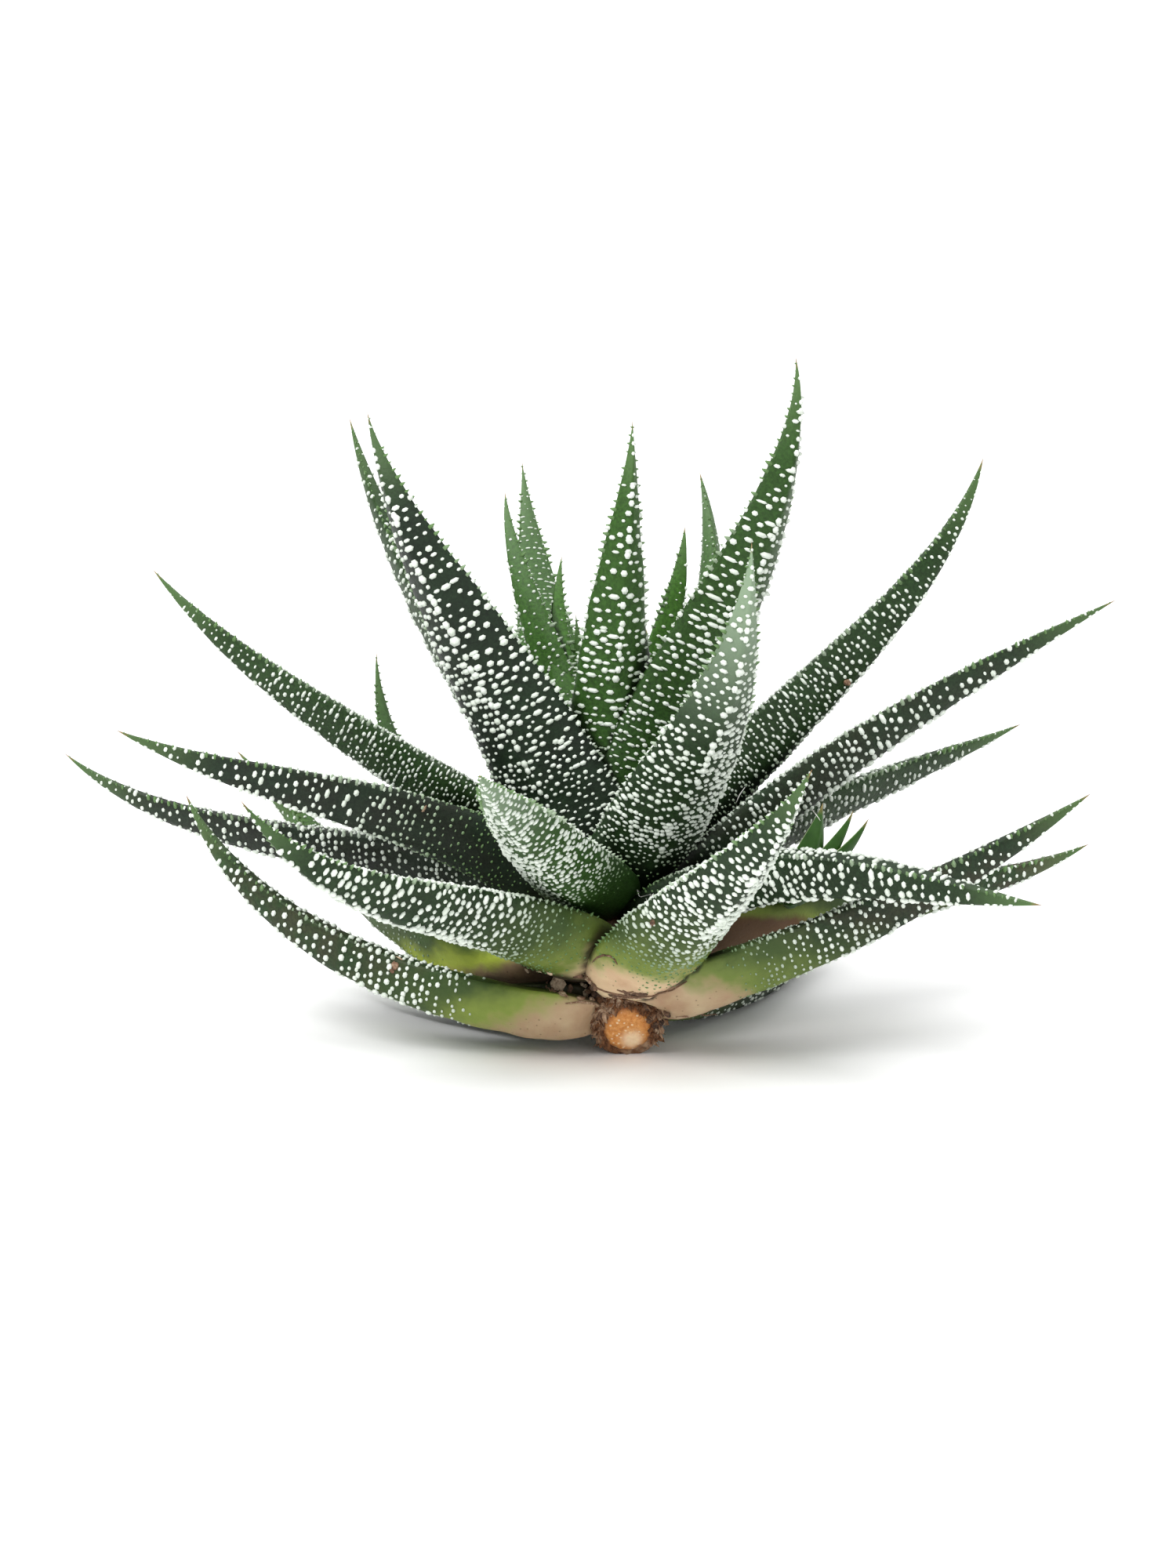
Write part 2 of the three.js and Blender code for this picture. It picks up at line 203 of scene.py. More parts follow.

# Cut pith is moist and grainy: rusty at its rim, orange inside, drying to cream in one place, and
# specked with beads of sap, whose glints are painted highlights: pale specks where it is moist.
pith, tree = new_material("moist_cut_pith")
GRAIN = 0.5
GRAIN_RELIEF = 0.25
SAP_BEAD = 0.6
place = add(tree, "ShaderNodeTexCoord").outputs["Object"]
rim, dry = [add(tree, "ShaderNodeAttribute", attribute_name=name).outputs["Fac"]
            for name in ("rim", "dry")]
grain = add(tree, "ShaderNodeTexNoise",
            {"Vector": place, "Scale": 1 / (GRAIN * MM), "Detail": 4.0, "Roughness": 0.7})
mottle = add(tree, "ShaderNodeMapRange", {"Value": grain, "From Min": 0.35, "From Max": 0.65})
# painted highlight: the glint of the sap beads, as pale specks in the colour where the pith is moist
sap_glints = add(tree, "ShaderNodeTexVoronoi", {"Vector": place, "Scale": 1 / (SAP_BEAD * MM)})
sap_glint_here = add(tree, "ShaderNodeMapRange",
               {"Value": sap_glints, "From Min": 0.3, "From Max": 0.16, "To Max": 0.8})
moist = add(tree, "ShaderNodeMath", {0: 1.0, 1: dry}, operation="SUBTRACT")
sap_glint_shown = add(tree, "ShaderNodeMath", {0: sap_glint_here, 1: moist}, operation="MULTIPLY")
colour = linear(PITH_RUST)
for here, over in ((mottle, PITH_ORANGE), (dry, PITH_CREAM), (sap_glint_shown, PITH_SAP_GLINT), (rim, PITH_RIM)):
    colour = add(tree, "ShaderNodeMix", {FACTOR: here, UNDER: colour, OVER: linear(over)},
                 data_type="RGBA").outputs[MIXED]
bump = add(tree, "ShaderNodeBump", {"Height": grain, "Strength": 0.9, "Distance": GRAIN_RELIEF * MM})
flesh = add(tree, "ShaderNodeBsdfPrincipled",
            {"Base Color": colour, "Normal": bump, "Roughness": 0.28, "IOR": 1.38,
             "Subsurface Weight": 0.2, "Subsurface Radius": (1.0, 0.5, 0.2),
             "Subsurface Scale": 0.6 * MM})
add(tree, "ShaderNodeOutputMaterial", {"Surface": flesh})


def stem_radius(height):
    """The stem's radius, which narrows smoothly from its lowest point to its top."""
    share = rise((height + STEM_BELOW) / (STEM_TOP + STEM_BELOW), 1)
    return STEM_RADIUS + (STEM_TOP_RADIUS - STEM_RADIUS) * share


# The cut face is sunk under the pith, rough outside it and frayed at its rim, and above the rim the
# bark is frayed for some way up.
STEM_AROUND = 96
FACE_RINGS = 10
SIDE_RINGS = 40
SUNK = 0.5
SUNK_SHARE = 0.6
FACE_ROUGH = 0.5
FRAYED_FROM = 0.85
FRAYED_UP_TO = 5
# The bark's ridges and their finer ones: how often each changes round the stem and up it.
RIDGES = ((6, 0.25), (14, 0.6))
RIDGE_RELIEF = 0.25
RIDGES_FROM = 2.6
corners = [on_table((0, 0, 2 * SUNK))]
frayed = [0.0]
for ring in range(FACE_RINGS + SIDE_RINGS):
    for spot in range(STEM_AROUND):
        angle = 2 * math.pi * spot / STEM_AROUND
        x, y = math.cos(angle), math.sin(angle)
        if ring < FACE_RINGS:
            share = (ring + 1) / FACE_RINGS
            radius = share * (stem_radius(0) - RIM_ROUND)
            lump = noise.noise(Vector((x, y, share * 2)) * 4)
            rough = FACE_ROUGH * lump * rise(share - 0.5, 0.4)
            height = -CUT_SLOPE * y * radius + rough + (SUNK if share < SUNK_SHARE else 0)
            frayed.append(rise(share - FRAYED_FROM, 0.08))
        else:
            share = (ring - FACE_RINGS + 1) / SIDE_RINGS
            foot = -CUT_SLOPE * y * stem_radius(0)
            above = (STEM_TOP - foot) * share * share
            rounded = RIM_ROUND * (1 - math.sqrt(1 - (1 - min(1, above / RIM_ROUND)) ** 2))
            radius = stem_radius(foot + above) - rounded
            height = foot + above + CUT_SLOPE * y * rounded
            frayed.append(1.0 if above < FRAYED_UP_TO else 0.0)
        coarse, fine = [noise.noise(Vector((x * round_it, y * round_it, height * up_it)))
                        for round_it, up_it in RIDGES]
        radius += RIDGE_RELIEF * (coarse + 0.5 * fine) * rise(radius - RIDGES_FROM, 1.2)
        corners.append(on_table((radius * x, radius * y, height)))
corners.append(on_table((0, 0, STEM_TOP)))
frayed.append(0.0)
faces = turned_out(net_faces(FACE_RINGS + SIDE_RINGS, STEM_AROUND))
stem_bark = solid_mesh("stem_bark", corners, faces, bark)
store(stem_bark, "frayed", frayed)


def new_geometry_tree(name, sizes):
    """A geometry tree that is given a mesh, sizes by these names and a seed, and its sockets for
    what it is given."""
    tree = bpy.data.node_groups.new(name, "GeometryNodeTree")
    for way in ("INPUT", "OUTPUT"):
        tree.interface.new_socket("Geometry", in_out=way, socket_type="NodeSocketGeometry")
    for size in sizes:
        tree.interface.new_socket(size, in_out="INPUT", socket_type="NodeSocketFloat")
    tree.interface.new_socket("Seed", in_out="INPUT", socket_type="NodeSocketInt")
    return tree, add(tree, "NodeGroupInput").outputs


# The tree that frays the bark: splinters scattered where it is frayed, laid along the stem and
# lifted at random. The same tree makes the broad scales and the fine fibres.
fraying, given = new_geometry_tree("frayed_bark", ("Spacing", "Length", "Width", "Thickness", "Lift"))
OFF_TABLE = 1.3
STRAY = 0.8
SPREAD = (0.4, 1.2)
# per square metre, before the spacing thins them
SPLINTERS_DENSEST = 2e7
facing = add(fraying, "GeometryNodeInputNormal")
faced = add(fraying, "GeometryNodeStoreNamedAttribute",
            {"Geometry": given["Geometry"], "Name": "facing", "Value": facing},
            data_type="FLOAT_VECTOR")
where = add(fraying, "GeometryNodeInputNamedAttribute", {"Name": "frayed"}).outputs["Attribute"]
place = add(fraying, "GeometryNodeInputPosition")
height = add(fraying, "ShaderNodeSeparateXYZ", {0: place}).outputs["Z"]
ragged, off_table = [
    add(fraying, "FunctionNodeCompare", {0: value, 1: limit}, operation="GREATER_THAN")
    for value, limit in ((where, 0.5), (height, OFF_TABLE * MM))]
may_fray = add(fraying, "FunctionNodeBooleanMath", {0: ragged, 1: off_table}, operation="AND")
roots = add(fraying, "GeometryNodeDistributePointsOnFaces",
            {"Mesh": faced, "Selection": may_fray, "Distance Min": given["Spacing"],
             "Density Max": SPLINTERS_DENSEST, "Seed": given["Seed"]}, distribute_method="POISSON")
kept_normal = add(fraying, "GeometryNodeInputNamedAttribute", {"Name": "facing"},
                  data_type="FLOAT_VECTOR").outputs["Attribute"]
downward = plant_to_table.to_3x3() @ Vector((0, 0, -1))
wander = add(fraying, "FunctionNodeRandomValue",
             {0: (-STRAY, -STRAY, -STRAY), 1: (STRAY, STRAY, STRAY), "Seed": given["Seed"]},
             data_type="FLOAT_VECTOR")
outward = add(fraying, "ShaderNodeVectorMath", {0: kept_normal, "Scale": given["Lift"]},
              operation="SCALE")
along = add(fraying, "ShaderNodeVectorMath", {0: outward, 1: tuple(downward)}, operation="ADD")
strayed = add(fraying, "ShaderNodeVectorMath", {0: along, 1: wander}, operation="ADD")
flat_out = add(fraying, "FunctionNodeAlignRotationToVector", {"Vector": kept_normal}, axis="Z")
laid = add(fraying, "FunctionNodeAlignRotationToVector", {"Rotation": flat_out, "Vector": strayed},
           axis="Y")
shape = add(fraying, "GeometryNodeMeshUVSphere", {"Segments": 5, "Rings": 5, "Radius": 0.5})
smooth = add(fraying, "GeometryNodeSetShadeSmooth", {"Geometry": shape})
size = add(fraying, "ShaderNodeCombineXYZ",
           {0: given["Width"], 1: given["Length"], 2: given["Thickness"]})
size_chance = add(fraying, "FunctionNodeRandomValue",
                  {2: SPREAD[0], 3: SPREAD[1], "Seed": given["Seed"]})
sized = add(fraying, "ShaderNodeVectorMath", {0: size, "Scale": size_chance.outputs[1]},
            operation="SCALE")
splinters = add(fraying, "GeometryNodeInstanceOnPoints",
                {"Points": roots, "Instance": smooth, "Rotation": laid, "Scale": sized})
real = add(fraying, "GeometryNodeRealizeInstances", {"Geometry": splinters})
barky = add(fraying, "GeometryNodeSetMaterial", {"Geometry": real, "Material": bark})
add(fraying, "NodeGroupOutput", {"Geometry": barky})


def grow(piece, tree, inputs):
    """Runs a geometry tree on a piece, and leaves the piece with the plain mesh that it makes."""
    modifier = piece.modifiers.new(tree.name, "NODES")
    modifier.node_group = tree
    for item in tree.interface.items_tree:
        if item.in_out == "INPUT" and item.name in inputs:
            modifier[item.identifier] = inputs[item.name]
    depsgraph = bpy.context.evaluated_depsgraph_get()
    evaluated = piece.evaluated_get(depsgraph)
    mesh = bpy.data.meshes.new_from_object(evaluated, preserve_all_data_layers=True,
                                           depsgraph=depsgraph)
    piece.modifiers.remove(modifier)
    piece.data = mesh


def keep_off_table(piece):
    """Lifts what reaches below the table up to it."""
    for corner in piece.data.vertices:
        corner.co.z = max(corner.co.z, 0.0)


# Broad scales and fine fibres, each with its sizes by the names that the tree gives them.
SPLINTERS = {
    "stem_scales": {"Spacing": 0.62 * MM, "Length": 1.9 * MM, "Width": 0.8 * MM,
                    "Thickness": 0.22 * MM, "Lift": 0.5, "Seed": 3},
    "stem_fibres": {"Spacing": 0.5 * MM, "Length": 2.0 * MM, "Width": 0.1 * MM,
                    "Thickness": 0.1 * MM, "Lift": 1.1, "Seed": 8},
}
stem_pieces = [stem_bark]
for name, sizes in SPLINTERS.items():
    piece = stem_bark.copy()
    piece.data = stem_bark.data.copy()
    piece.name = name
    bpy.context.scene.collection.objects.link(piece)
    grow(piece, fraying, sizes)
    stem_pieces.append(piece)
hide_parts("stem")
for piece in stem_pieces:
    keep_off_table(piece)
    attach(piece, "root")

# The pith bulges in the middle, dips at its edge, and has dried round one spot.
PITH_AROUND = 48
PITH_RINGS = 14
BULGE = 1.6
LUMPS = 0.5
EDGE_DIP = 0.5
PITH_DEPTH = 3
DRY_SPOT = Vector((0.4, 1.1))
MOST_DRY = 0.85
MOST_RIM = 0.85
corners = [on_table((0, 0, -PITH_PROUD * BULGE))]
rim_shares = [0.0]
dry_shares = [0.3]
for ring in range(PITH_RINGS):
    share = (ring + 1) / PITH_RINGS
    for spot in range(PITH_AROUND):
        angle = 2 * math.pi * spot / PITH_AROUND
        uneven = 1 + 0.05 * noise.noise(Vector((math.cos(angle) * 2, math.sin(angle) * 2, 7)))
        radius = PITH_RADIUS * math.sin(share * math.pi / 2) * uneven
        x, y = radius * math.cos(angle), radius * math.sin(angle)
        lump = LUMPS * noise.noise(Vector((x, y, 0)) * 1.4)
        domed = BULGE * math.cos(share * math.pi / 2) + lump
        proud = PITH_PROUD * domed - EDGE_DIP * rise(share - 0.9, 0.1)
        corners.append(on_table((x, y, -CUT_SLOPE * y - proud)))
        rim_shares.append(rise(share - 0.5, 0.45) * MOST_RIM)
        off_spot = (Vector((x, y)) - DRY_SPOT).length
        dry_shares.append(MOST_DRY * rise(0.9 - off_spot / 2, 0.7))
corners.append(on_table((0, 0, PITH_DEPTH)))
rim_shares.append(1.0)
dry_shares.append(0.0)
faces = turned_out(net_faces(PITH_RINGS, PITH_AROUND))
stem_pith = solid_mesh("stem_pith", corners, faces, pith)
store(stem_pith, "rim", rim_shares)
store(stem_pith, "dry", dry_shares)
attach(stem_pith, "root")

# The leaves: each a solid, fleshy blade set on the stem by a broad heel, flat above and keeled
# below, drawn out to a hard brown point. The skin is waxy and dark green, paler and tan towards
# the heel, and stands up in pearly white warts, which are part of it, in rough rows crosswise.

ROOT_RADIUS = 2.4
UPPER_SHARE = 0.3
HEEL_SHARE = 0.14
HALF_FULL = 0.5
HEEL_ROUND = 1.3
HEEL_RINGS = (0.96, 0.8, 0.55, 0.3)
RING_STEP = 0.95
LEAF_AROUND = 32
SKIN_RIPPLE = 0.5
# Under the bark a heel starts this far behind the cut, and it may reach this much lower for each
# mm that it is out past the bark.
BEHIND_CUT = 0.7
TUCKED_IN = 1.6
LEAF_GREEN_DARK = "111a12"
LEAF_GREEN = "1b2b1b"
LEAF_GREEN_YOUNG = "38601d"
LEAF_BROWNED = "3d3527"
LEAF_TIP = "587546"
LEAF_POINT = "946a48"
LEAF_TIP_GREY = "869a80"
HEEL_OLIVE = "3f5226"
HEEL_YELLOW = "68793b"
HEEL_YELLOW_YOUNG = "b9c94a"
HEEL_TAN = "e9d3ad"
HEEL_PINK = "c6a283"
HEEL_BROWN = "6a4a35"
HEEL_SPECK = "54402f"
WART_WHITE = "dfe6dc"
WART_GREEN = "5f7f4c"

# name: turn round the stem from the right (90 is the front), seat up the stem, length, lift above
# level at the root, half way and at the tip, sway sideways, width and thickness.
LEAF_SHAPES = {
    "leaf_heart_left": (134, 24.7, 34, (71, 89, 103), 3, 6.5, 3.5),
    "leaf_inner_left": (148, 26.8, 40, (91, 74, 90), 1, 8, 4.5),
    "leaf_heart_centre": (250, 26.5, 27, (80, 86, 92), 0, 5, 3),
    "leaf_inner_right": (24, 26, 35, (80, 67, 79), 0, 9.5, 4.5),
    "leaf_back_left_tall": (252, 22.7, 62, (61, 70, 92), -2, 11.5, 4.5),
    "leaf_back_right_tall": (334, 22.3, 52, (59, 72, 96), 0, 11, 5.5),
    "leaf_front_centre": (81, 21.1, 51, (71, 46, 77), -20, 10, 5),
    "leaf_back_inner": (296, 21, 36, (62, 68, 80), 0, 10.5, 5),
    "leaf_right_tall": (48, 19.7, 63, (69, 42, 90), -13, 14, 5.5),
    "leaf_left_tall": (202, 19.4, 71, (68, 65, 79), 1, 10, 5.5),
    "leaf_left_upper": (171, 17.9, 64, (42, 37, 53), -3, 12.5, 5.5),
    "leaf_back_upper": (270, 17, 54, (48, 58, 72), 0, 12, 5.5),
    "leaf_front_left_broad": (125, 16.5, 62, (67, 48, 80), 11, 15, 5.5),
    "leaf_front_keeled": (63, 16.1, 52, (35, 19, 69), 7, 13, 6),
    "leaf_front_facing": (107, 15.3, 52, (0, -1, -10), -13, 11, 6),
    "leaf_left_middle": (158, 14.2, 60, (43, 14, 23), 2, 13, 6.5),
    "leaf_back_right_upper": (308, 14, 42, (38, 50, 64), 0, 12, 6),
    "leaf_right_upper": (12, 15.1, 67, (59, 37, 66), -5, 13, 6.5),
    "leaf_left_long": (186, 13, 70, (41, 18, 46), 4, 12, 5.5),
    "leaf_back_left": (224, 13, 62, (33, 48, 96), 1, 11, 5),
    "leaf_right_drooping": (31, 11.7, 55, (25, -18, -23), -4, 11.5, 6.5),
    "leaf_right_back": (335, 12.1, 62, (46, 25, 24), -3, 11.5, 5),
    "leaf_right_middle": (6, 12.5, 68, (41, 27, 21), -5, 12, 5),
    "leaf_back_middle": (278, 10, 58, (30, 44, 56), 0, 12, 6),
    "leaf_right_lower_back": (339, 9.7, 61, (20, 10, 24), -3, 11, 6),
    "leaf_left_lower_back": (202, 8.3, 61, (2, 46, 50), 1, 11, 6),
    "leaf_left_front_low": (134, 7.9, 59, (21, -2, 33), -14, 13, 6.5),
    "leaf_prop_left": (238, 7.6, 54, (16, 24, 44), 0, 12, 6),
    "leaf_right_front_low": (67, 5.3, 53, (14, 0, 25), -7, 12.8, 7.7),
    "leaf_left_scarred": (214, 5.4, 44, (10, 22, 46), 0, 9, 5),
    "leaf_prop_right": (302, 5.5, 54, (12, 22, 44), 0, 12, 6),
    "leaf_right_bottom": (5, 2.6, 59, (8, 19, 29), -15, 10.5, 6),
    "leaf_left_bottom": (176, 2.2, 59, (9, 32, 69), 13, 10, 5.8),
}

# name: how young and bright its green is and how browned, from 0 to 1, by age and, on heels deep
# in shade such as the lower ones at the back, also as painted shade, then how far from the root it
# is pale and tan, smooth, and green-warted, and its warts' size, least spacing and how much the
# longest are drawn out crosswise.
LEAF_LOOKS = {
    "leaf_heart_left": (1.0, 0, 0, 1, 3, 0.36, 1.3, 1.0),
    "leaf_inner_left": (0.85, 0, 0, 1, 3, 0.4, 1.0, 1.1),
    "leaf_heart_centre": (1.0, 0, 0, 1, 3, 0.36, 1.2, 1.0),
    "leaf_inner_right": (0.95, 0, 0, 1, 3, 0.42, 1.0, 1.3),
    "leaf_back_left_tall": (0.75, 0, 0, 2, 3, 0.36, 0.72, 2.8),
    "leaf_back_right_tall": (0.8, 0, 0, 2, 3, 0.34, 0.85, 1.4),
    "leaf_front_centre": (0.6, 0, 0, 2, 4, 0.7, 1.08, 2.1),
    "leaf_back_inner": (0.5, 0, 0, 2, 4, 0.5, 1.3, 1.3),
    "leaf_right_tall": (0.45, 0, 0, 2, 5, 0.7, 1.0, 2.8),
    "leaf_left_tall": (0.25, 0, 0, 2, 5, 0.62, 0.98, 1.5),
    "leaf_left_upper": (0.25, 0, 0, 2, 14, 0.46, 0.72, 2.3),
    "leaf_back_upper": (0.3, 0, 0, 2, 10, 0.55, 1.2, 1.3),
    "leaf_front_left_broad": (0.02, 0, 0, 2, 6, 0.8, 1.04, 1.8),
    "leaf_front_keeled": (0.16, 0, 0, 3, 10, 0.72, 0.86, 1.6),
    "leaf_front_facing": (0.45, 0, 0, 7, 17, 0.6, 0.74, 1.6),
    "leaf_left_middle": (0.0, 0.1, 0, 5, 33, 0.66, 0.95, 1.8),
    "leaf_back_right_upper": (0.2, 0, 0, 2, 10, 0.55, 1.2, 1.3),
    "leaf_right_upper": (0.2, 0, 0, 2, 12, 0.5, 0.74, 2.2),
    "leaf_left_long": (0.0, 0.1, 0, 2, 15, 0.62, 0.95, 1.3),
    "leaf_back_left": (0.5, 0, 0, 2, 10, 0.3, 1.4, 1.0),
    "leaf_right_drooping": (0.1, 0, 0, 2, 12, 0.78, 1.0, 1.8),
    "leaf_right_back": (0.2, 0, 0, 2, 12, 0.58, 0.95, 1.8),
    "leaf_right_middle": (0.08, 0.15, 0, 2, 12, 0.72, 1.05, 1.7),
    "leaf_back_middle": (0.1, 0, 0, 3, 12, 0.55, 1.3, 1.3),
    "leaf_right_lower_back": (0.2, 1.0, 17, 24, 32, 0.6, 1.0, 1.4),
    "leaf_left_lower_back": (0.9, 0.55, 12, 18, 34, 0.5, 1.0, 1.4),
    "leaf_left_front_low": (0.14, 0, 3.8, 5, 20, 0.76, 0.92, 1.7),
    "leaf_prop_left": (0.1, 0.2, 3, 8, 14, 0.55, 1.3, 1.3),
    "leaf_right_front_low": (0.12, 0, 6.1, 4.8, 20, 0.74, 0.86, 1.5),
    "leaf_left_scarred": (0.1, 0.45, 1.5, 14, 30, 0.45, 1.2, 1.2),
    "leaf_prop_right": (0.1, 0.2, 3, 8, 14, 0.55, 1.3, 1.3),
    "leaf_right_bottom": (0.06, 0.45, 8.3, 11, 22, 0.6, 0.95, 1.4),
    "leaf_left_bottom": (0.2, 0.5, 7.5, 14, 18, 0.68, 1.0, 1.4),
}

# How much greyer and paler a leaf turns towards the tip, from 0 to 1, on the leaves that do.
TIP_GREYED = {"leaf_front_keeled": 0.9, "leaf_front_facing": 0.75, "leaf_back_left_tall": 0.2,
         "leaf_back_right_tall": 0.2, "leaf_inner_left": 0.15}

# How much of the painted shade in its gaps a leaf keeps, when it isn't all.
GAP_SHADE_KEPT = {"leaf_front_facing": 0.1}

# How full a heel is at its root, as a share of the whole leaf, when it isn't half.
HEEL_FULL = {"leaf_right_front_low": 0.8, "leaf_left_bottom": 0.3}

# Where a root starts, from the middle of the stem, when it isn't at ROOT_RADIUS.
ROOTS = {"leaf_right_bottom": (0.6, -3.2), "leaf_left_scarred": (-4.6, 0.6)}


def heel(s, full):
    """How the heel fills out from the root, at a share s of the leaf's length."""
    return full + (1 - full) * math.sqrt(1 - (1 - min(1, s / HEEL_SHARE)) ** 2)


def width_at(s, full):
    """A leaf's width, as a share of its greatest: drawn in over a long tip."""
    return 1.03 * (1 - s ** 2.3) ** 1.35 * heel(s, full)


def thick_at(s, full):
    """A leaf's thickness, as a share of its greatest."""
    return (1 - s ** 2.6) * heel(s, full)


def section_point(angle, s):
    """Across a leaf: x from -1 to 1 and a height as a share of the thickness, keeled below."""
    x = math.cos(angle)
    keel = 0.2 + 0.5 * rise(s, 0.7)
    ridge = 1 - math.sqrt(x * x + 0.004)
    arch = math.sqrt(max(0, 1 - x * x))
    upper = UPPER_SHARE * (1 - x * x)
    lower = -(1 - UPPER_SHARE) * ((1 - keel) * arch + keel * ridge)
    return x, upper if math.sin(angle) >= 0 else lower


def leaf_line(turn, seat, length, lift, sway, steps, root=None):
    """The leaf's middle line: share of the length, place, direction, upward and sideways. Its
    lift follows a parabola through the three that are given."""
    root_angle = math.radians(turn)
    x, y = root or (ROOT_RADIUS * math.cos(root_angle), -ROOT_RADIUS * math.sin(root_angle))
    place = Vector((x, y, seat))
    at_root, half_way, at_tip = lift
    line = []
    before = None
    for step in range(steps + 1):
        s = step / steps
        bent = at_root * (1 - s) * (1 - 2 * s) + half_way * 4 * s * (1 - s) + at_tip * s * (2 * s - 1)
        angle = math.radians(bent)
        heading = math.radians(turn + sway * s * s)
        outward = Vector((math.cos(heading), -math.sin(heading), 0))
        along = outward * math.cos(angle) + Vector((0, 0, math.sin(angle)))
        upward = outward * -math.sin(angle) + Vector((0, 0, math.cos(angle)))
        if before:
            place = place + (before + along) * (length / steps / 2)
        before = along
        line.append((s, place.copy(), along, upward, along.cross(upward)))
    return line


def leaf_blade(name, line, length, width, thick, full, around, ripple_mm, material):
    """A closed leaf along its middle line, with what its skin and warts need stored on it."""
    steps = len(line) - 1
    lean = plant_to_table.to_3x3()
    corners = []
    values = {"share": [], "length": [], "edge": [], "ridge": [], "low": []}
    lengthwise = []

    def put(point, s, along, edge=0.0, ridge=0.0, low=0.5):
        past_bark = max(0, math.hypot(point.x, point.y) - STEM_RADIUS)
        lowest = BEHIND_CUT - CUT_SLOPE * point.y - TUCKED_IN * past_bark
        corners.append(on_table((point.x, point.y, max(point.z, lowest))))
        for key, value in zip(values, (s, s * length * MM, edge, ridge, low)):
            values[key].append(value)
        lengthwise.extend(lean @ along)

    def put_ring(s, place, along, upward, sideways, shrink=1.0):
        for spot in range(around):
            x, y = section_point(2 * math.pi * spot / around, s)
            bend = noise.noise(place * 0.35 + Vector((x * 1.5, y, len(name))))
            ripple = ripple_mm * bend * rise(s, 0.2) * (1 - s)
            across = x * (width / 2 * width_at(s, full) + ripple) * shrink
            height = y * (thick * thick_at(s, full) + ripple) * shrink
            edge = 1.0 if spot in (0, around // 2) else 0.0
            ridge = 1.0 if spot == around * 3 // 4 else 0.0
            put(place + sideways * across + upward * height, s, along, edge, ridge, UPPER_SHARE - y)

    s, place, along, upward, sideways = line[0]
    put(place - along * HEEL_ROUND, 0, along)
    for share in HEEL_RINGS:
        shrink = math.sqrt(1 - share * share)
        put_ring(0, place - along * HEEL_ROUND * share, along, upward, sideways, shrink)
    for ring in line[:-1]:
        put_ring(*ring)
    put(line[-1][1], 1, line[-1][2])
    piece = solid_mesh(name, corners, net_faces(steps + len(HEEL_RINGS), around), material)
    for key, numbers in values.items():
        store(piece, key, numbers)
    held = piece.data.attributes.new("lengthwise", "FLOAT_VECTOR", "POINT")
    held.data.foreach_set("vector", lengthwise)
    return piece


# Haworthia skin is waxy: a satin green with a fine pebbled grain, and light sinks a little way in.
# Its grain is too fine to show, so it is drawn coarser. It reads from the blade how far up the leaf
# a spot is, and how low on its keeled side.
waxy_skin, tree = new_material("waxy_haworthia_skin")
CLOUD = 4.5
PEBBLE = 0.38
PEBBLE_RELIEF = 0.12
SPECK_APART = 0.9
CLOUDY_EDGE = 2.2
FAINT_HEEL = 5
place = add(tree, "ShaderNodeTexCoord").outputs["Object"]
share, length_on, low, young, browned, heel_reach, tip_greyed, gap = [
    add(tree, "ShaderNodeAttribute", attribute_name=name).outputs["Fac"]
    for name in ("share", "length", "low", "young", "browned", "heel", "tip_greyed", "gap")]
cloud = add(tree, "ShaderNodeTexNoise",
            {"Vector": place, "Scale": 1 / (CLOUD * MM), "Detail": 3.0, "Roughness": 0.6})
pebbles = add(tree, "ShaderNodeTexNoise",
              {"Vector": place, "Scale": 1 / (PEBBLE * MM), "Detail": 2.0, "Roughness": 0.6})
mottle = add(tree, "ShaderNodeMapRange", {"Value": cloud, "From Min": 0.3, "From Max": 0.72})
brown_cloud = add(tree, "ShaderNodeMapRange",
                  {"Value": cloud, "From Min": 0.62, "From Max": 0.42, "To Max": 0.9})
brown_here = add(tree, "ShaderNodeMath", {0: brown_cloud, 1: browned}, operation="MULTIPLY")
colour = linear(LEAF_GREEN_DARK)
for here, over in ((mottle, LEAF_GREEN), (young, LEAF_GREEN_YOUNG), (brown_here, LEAF_BROWNED)):
    colour = add(tree, "ShaderNodeMix", {FACTOR: here, UNDER: colour, OVER: linear(over)},
                 data_type="RGBA").outputs[MIXED]
grain_light = add(tree, "ShaderNodeMapRange",
                  {"Value": pebbles, "From Min": 0.3, "From Max": 0.7, "To Min": 0.72, "To Max": 1.35})
grained = add(tree, "ShaderNodeVectorMath", {0: colour, "Scale": grain_light}, operation="SCALE")

# the tip, the grey that spreads towards it, and its hard point
to_tip = add(tree, "ShaderNodeMapRange",
             {"Value": share, "From Min": 0.78, "From Max": 0.98, "To Max": 0.65},
             interpolation_type="SMOOTHSTEP")
greying_to_tip = add(tree, "ShaderNodeMapRange",
               {"Value": share, "From Min": 0.5, "From Max": 0.93, "To Max": tip_greyed},
               interpolation_type="SMOOTHSTEP")
to_point = add(tree, "ShaderNodeMapRange",
               {"Value": share, "From Min": 0.972, "From Max": 0.995, "To Max": 0.9})

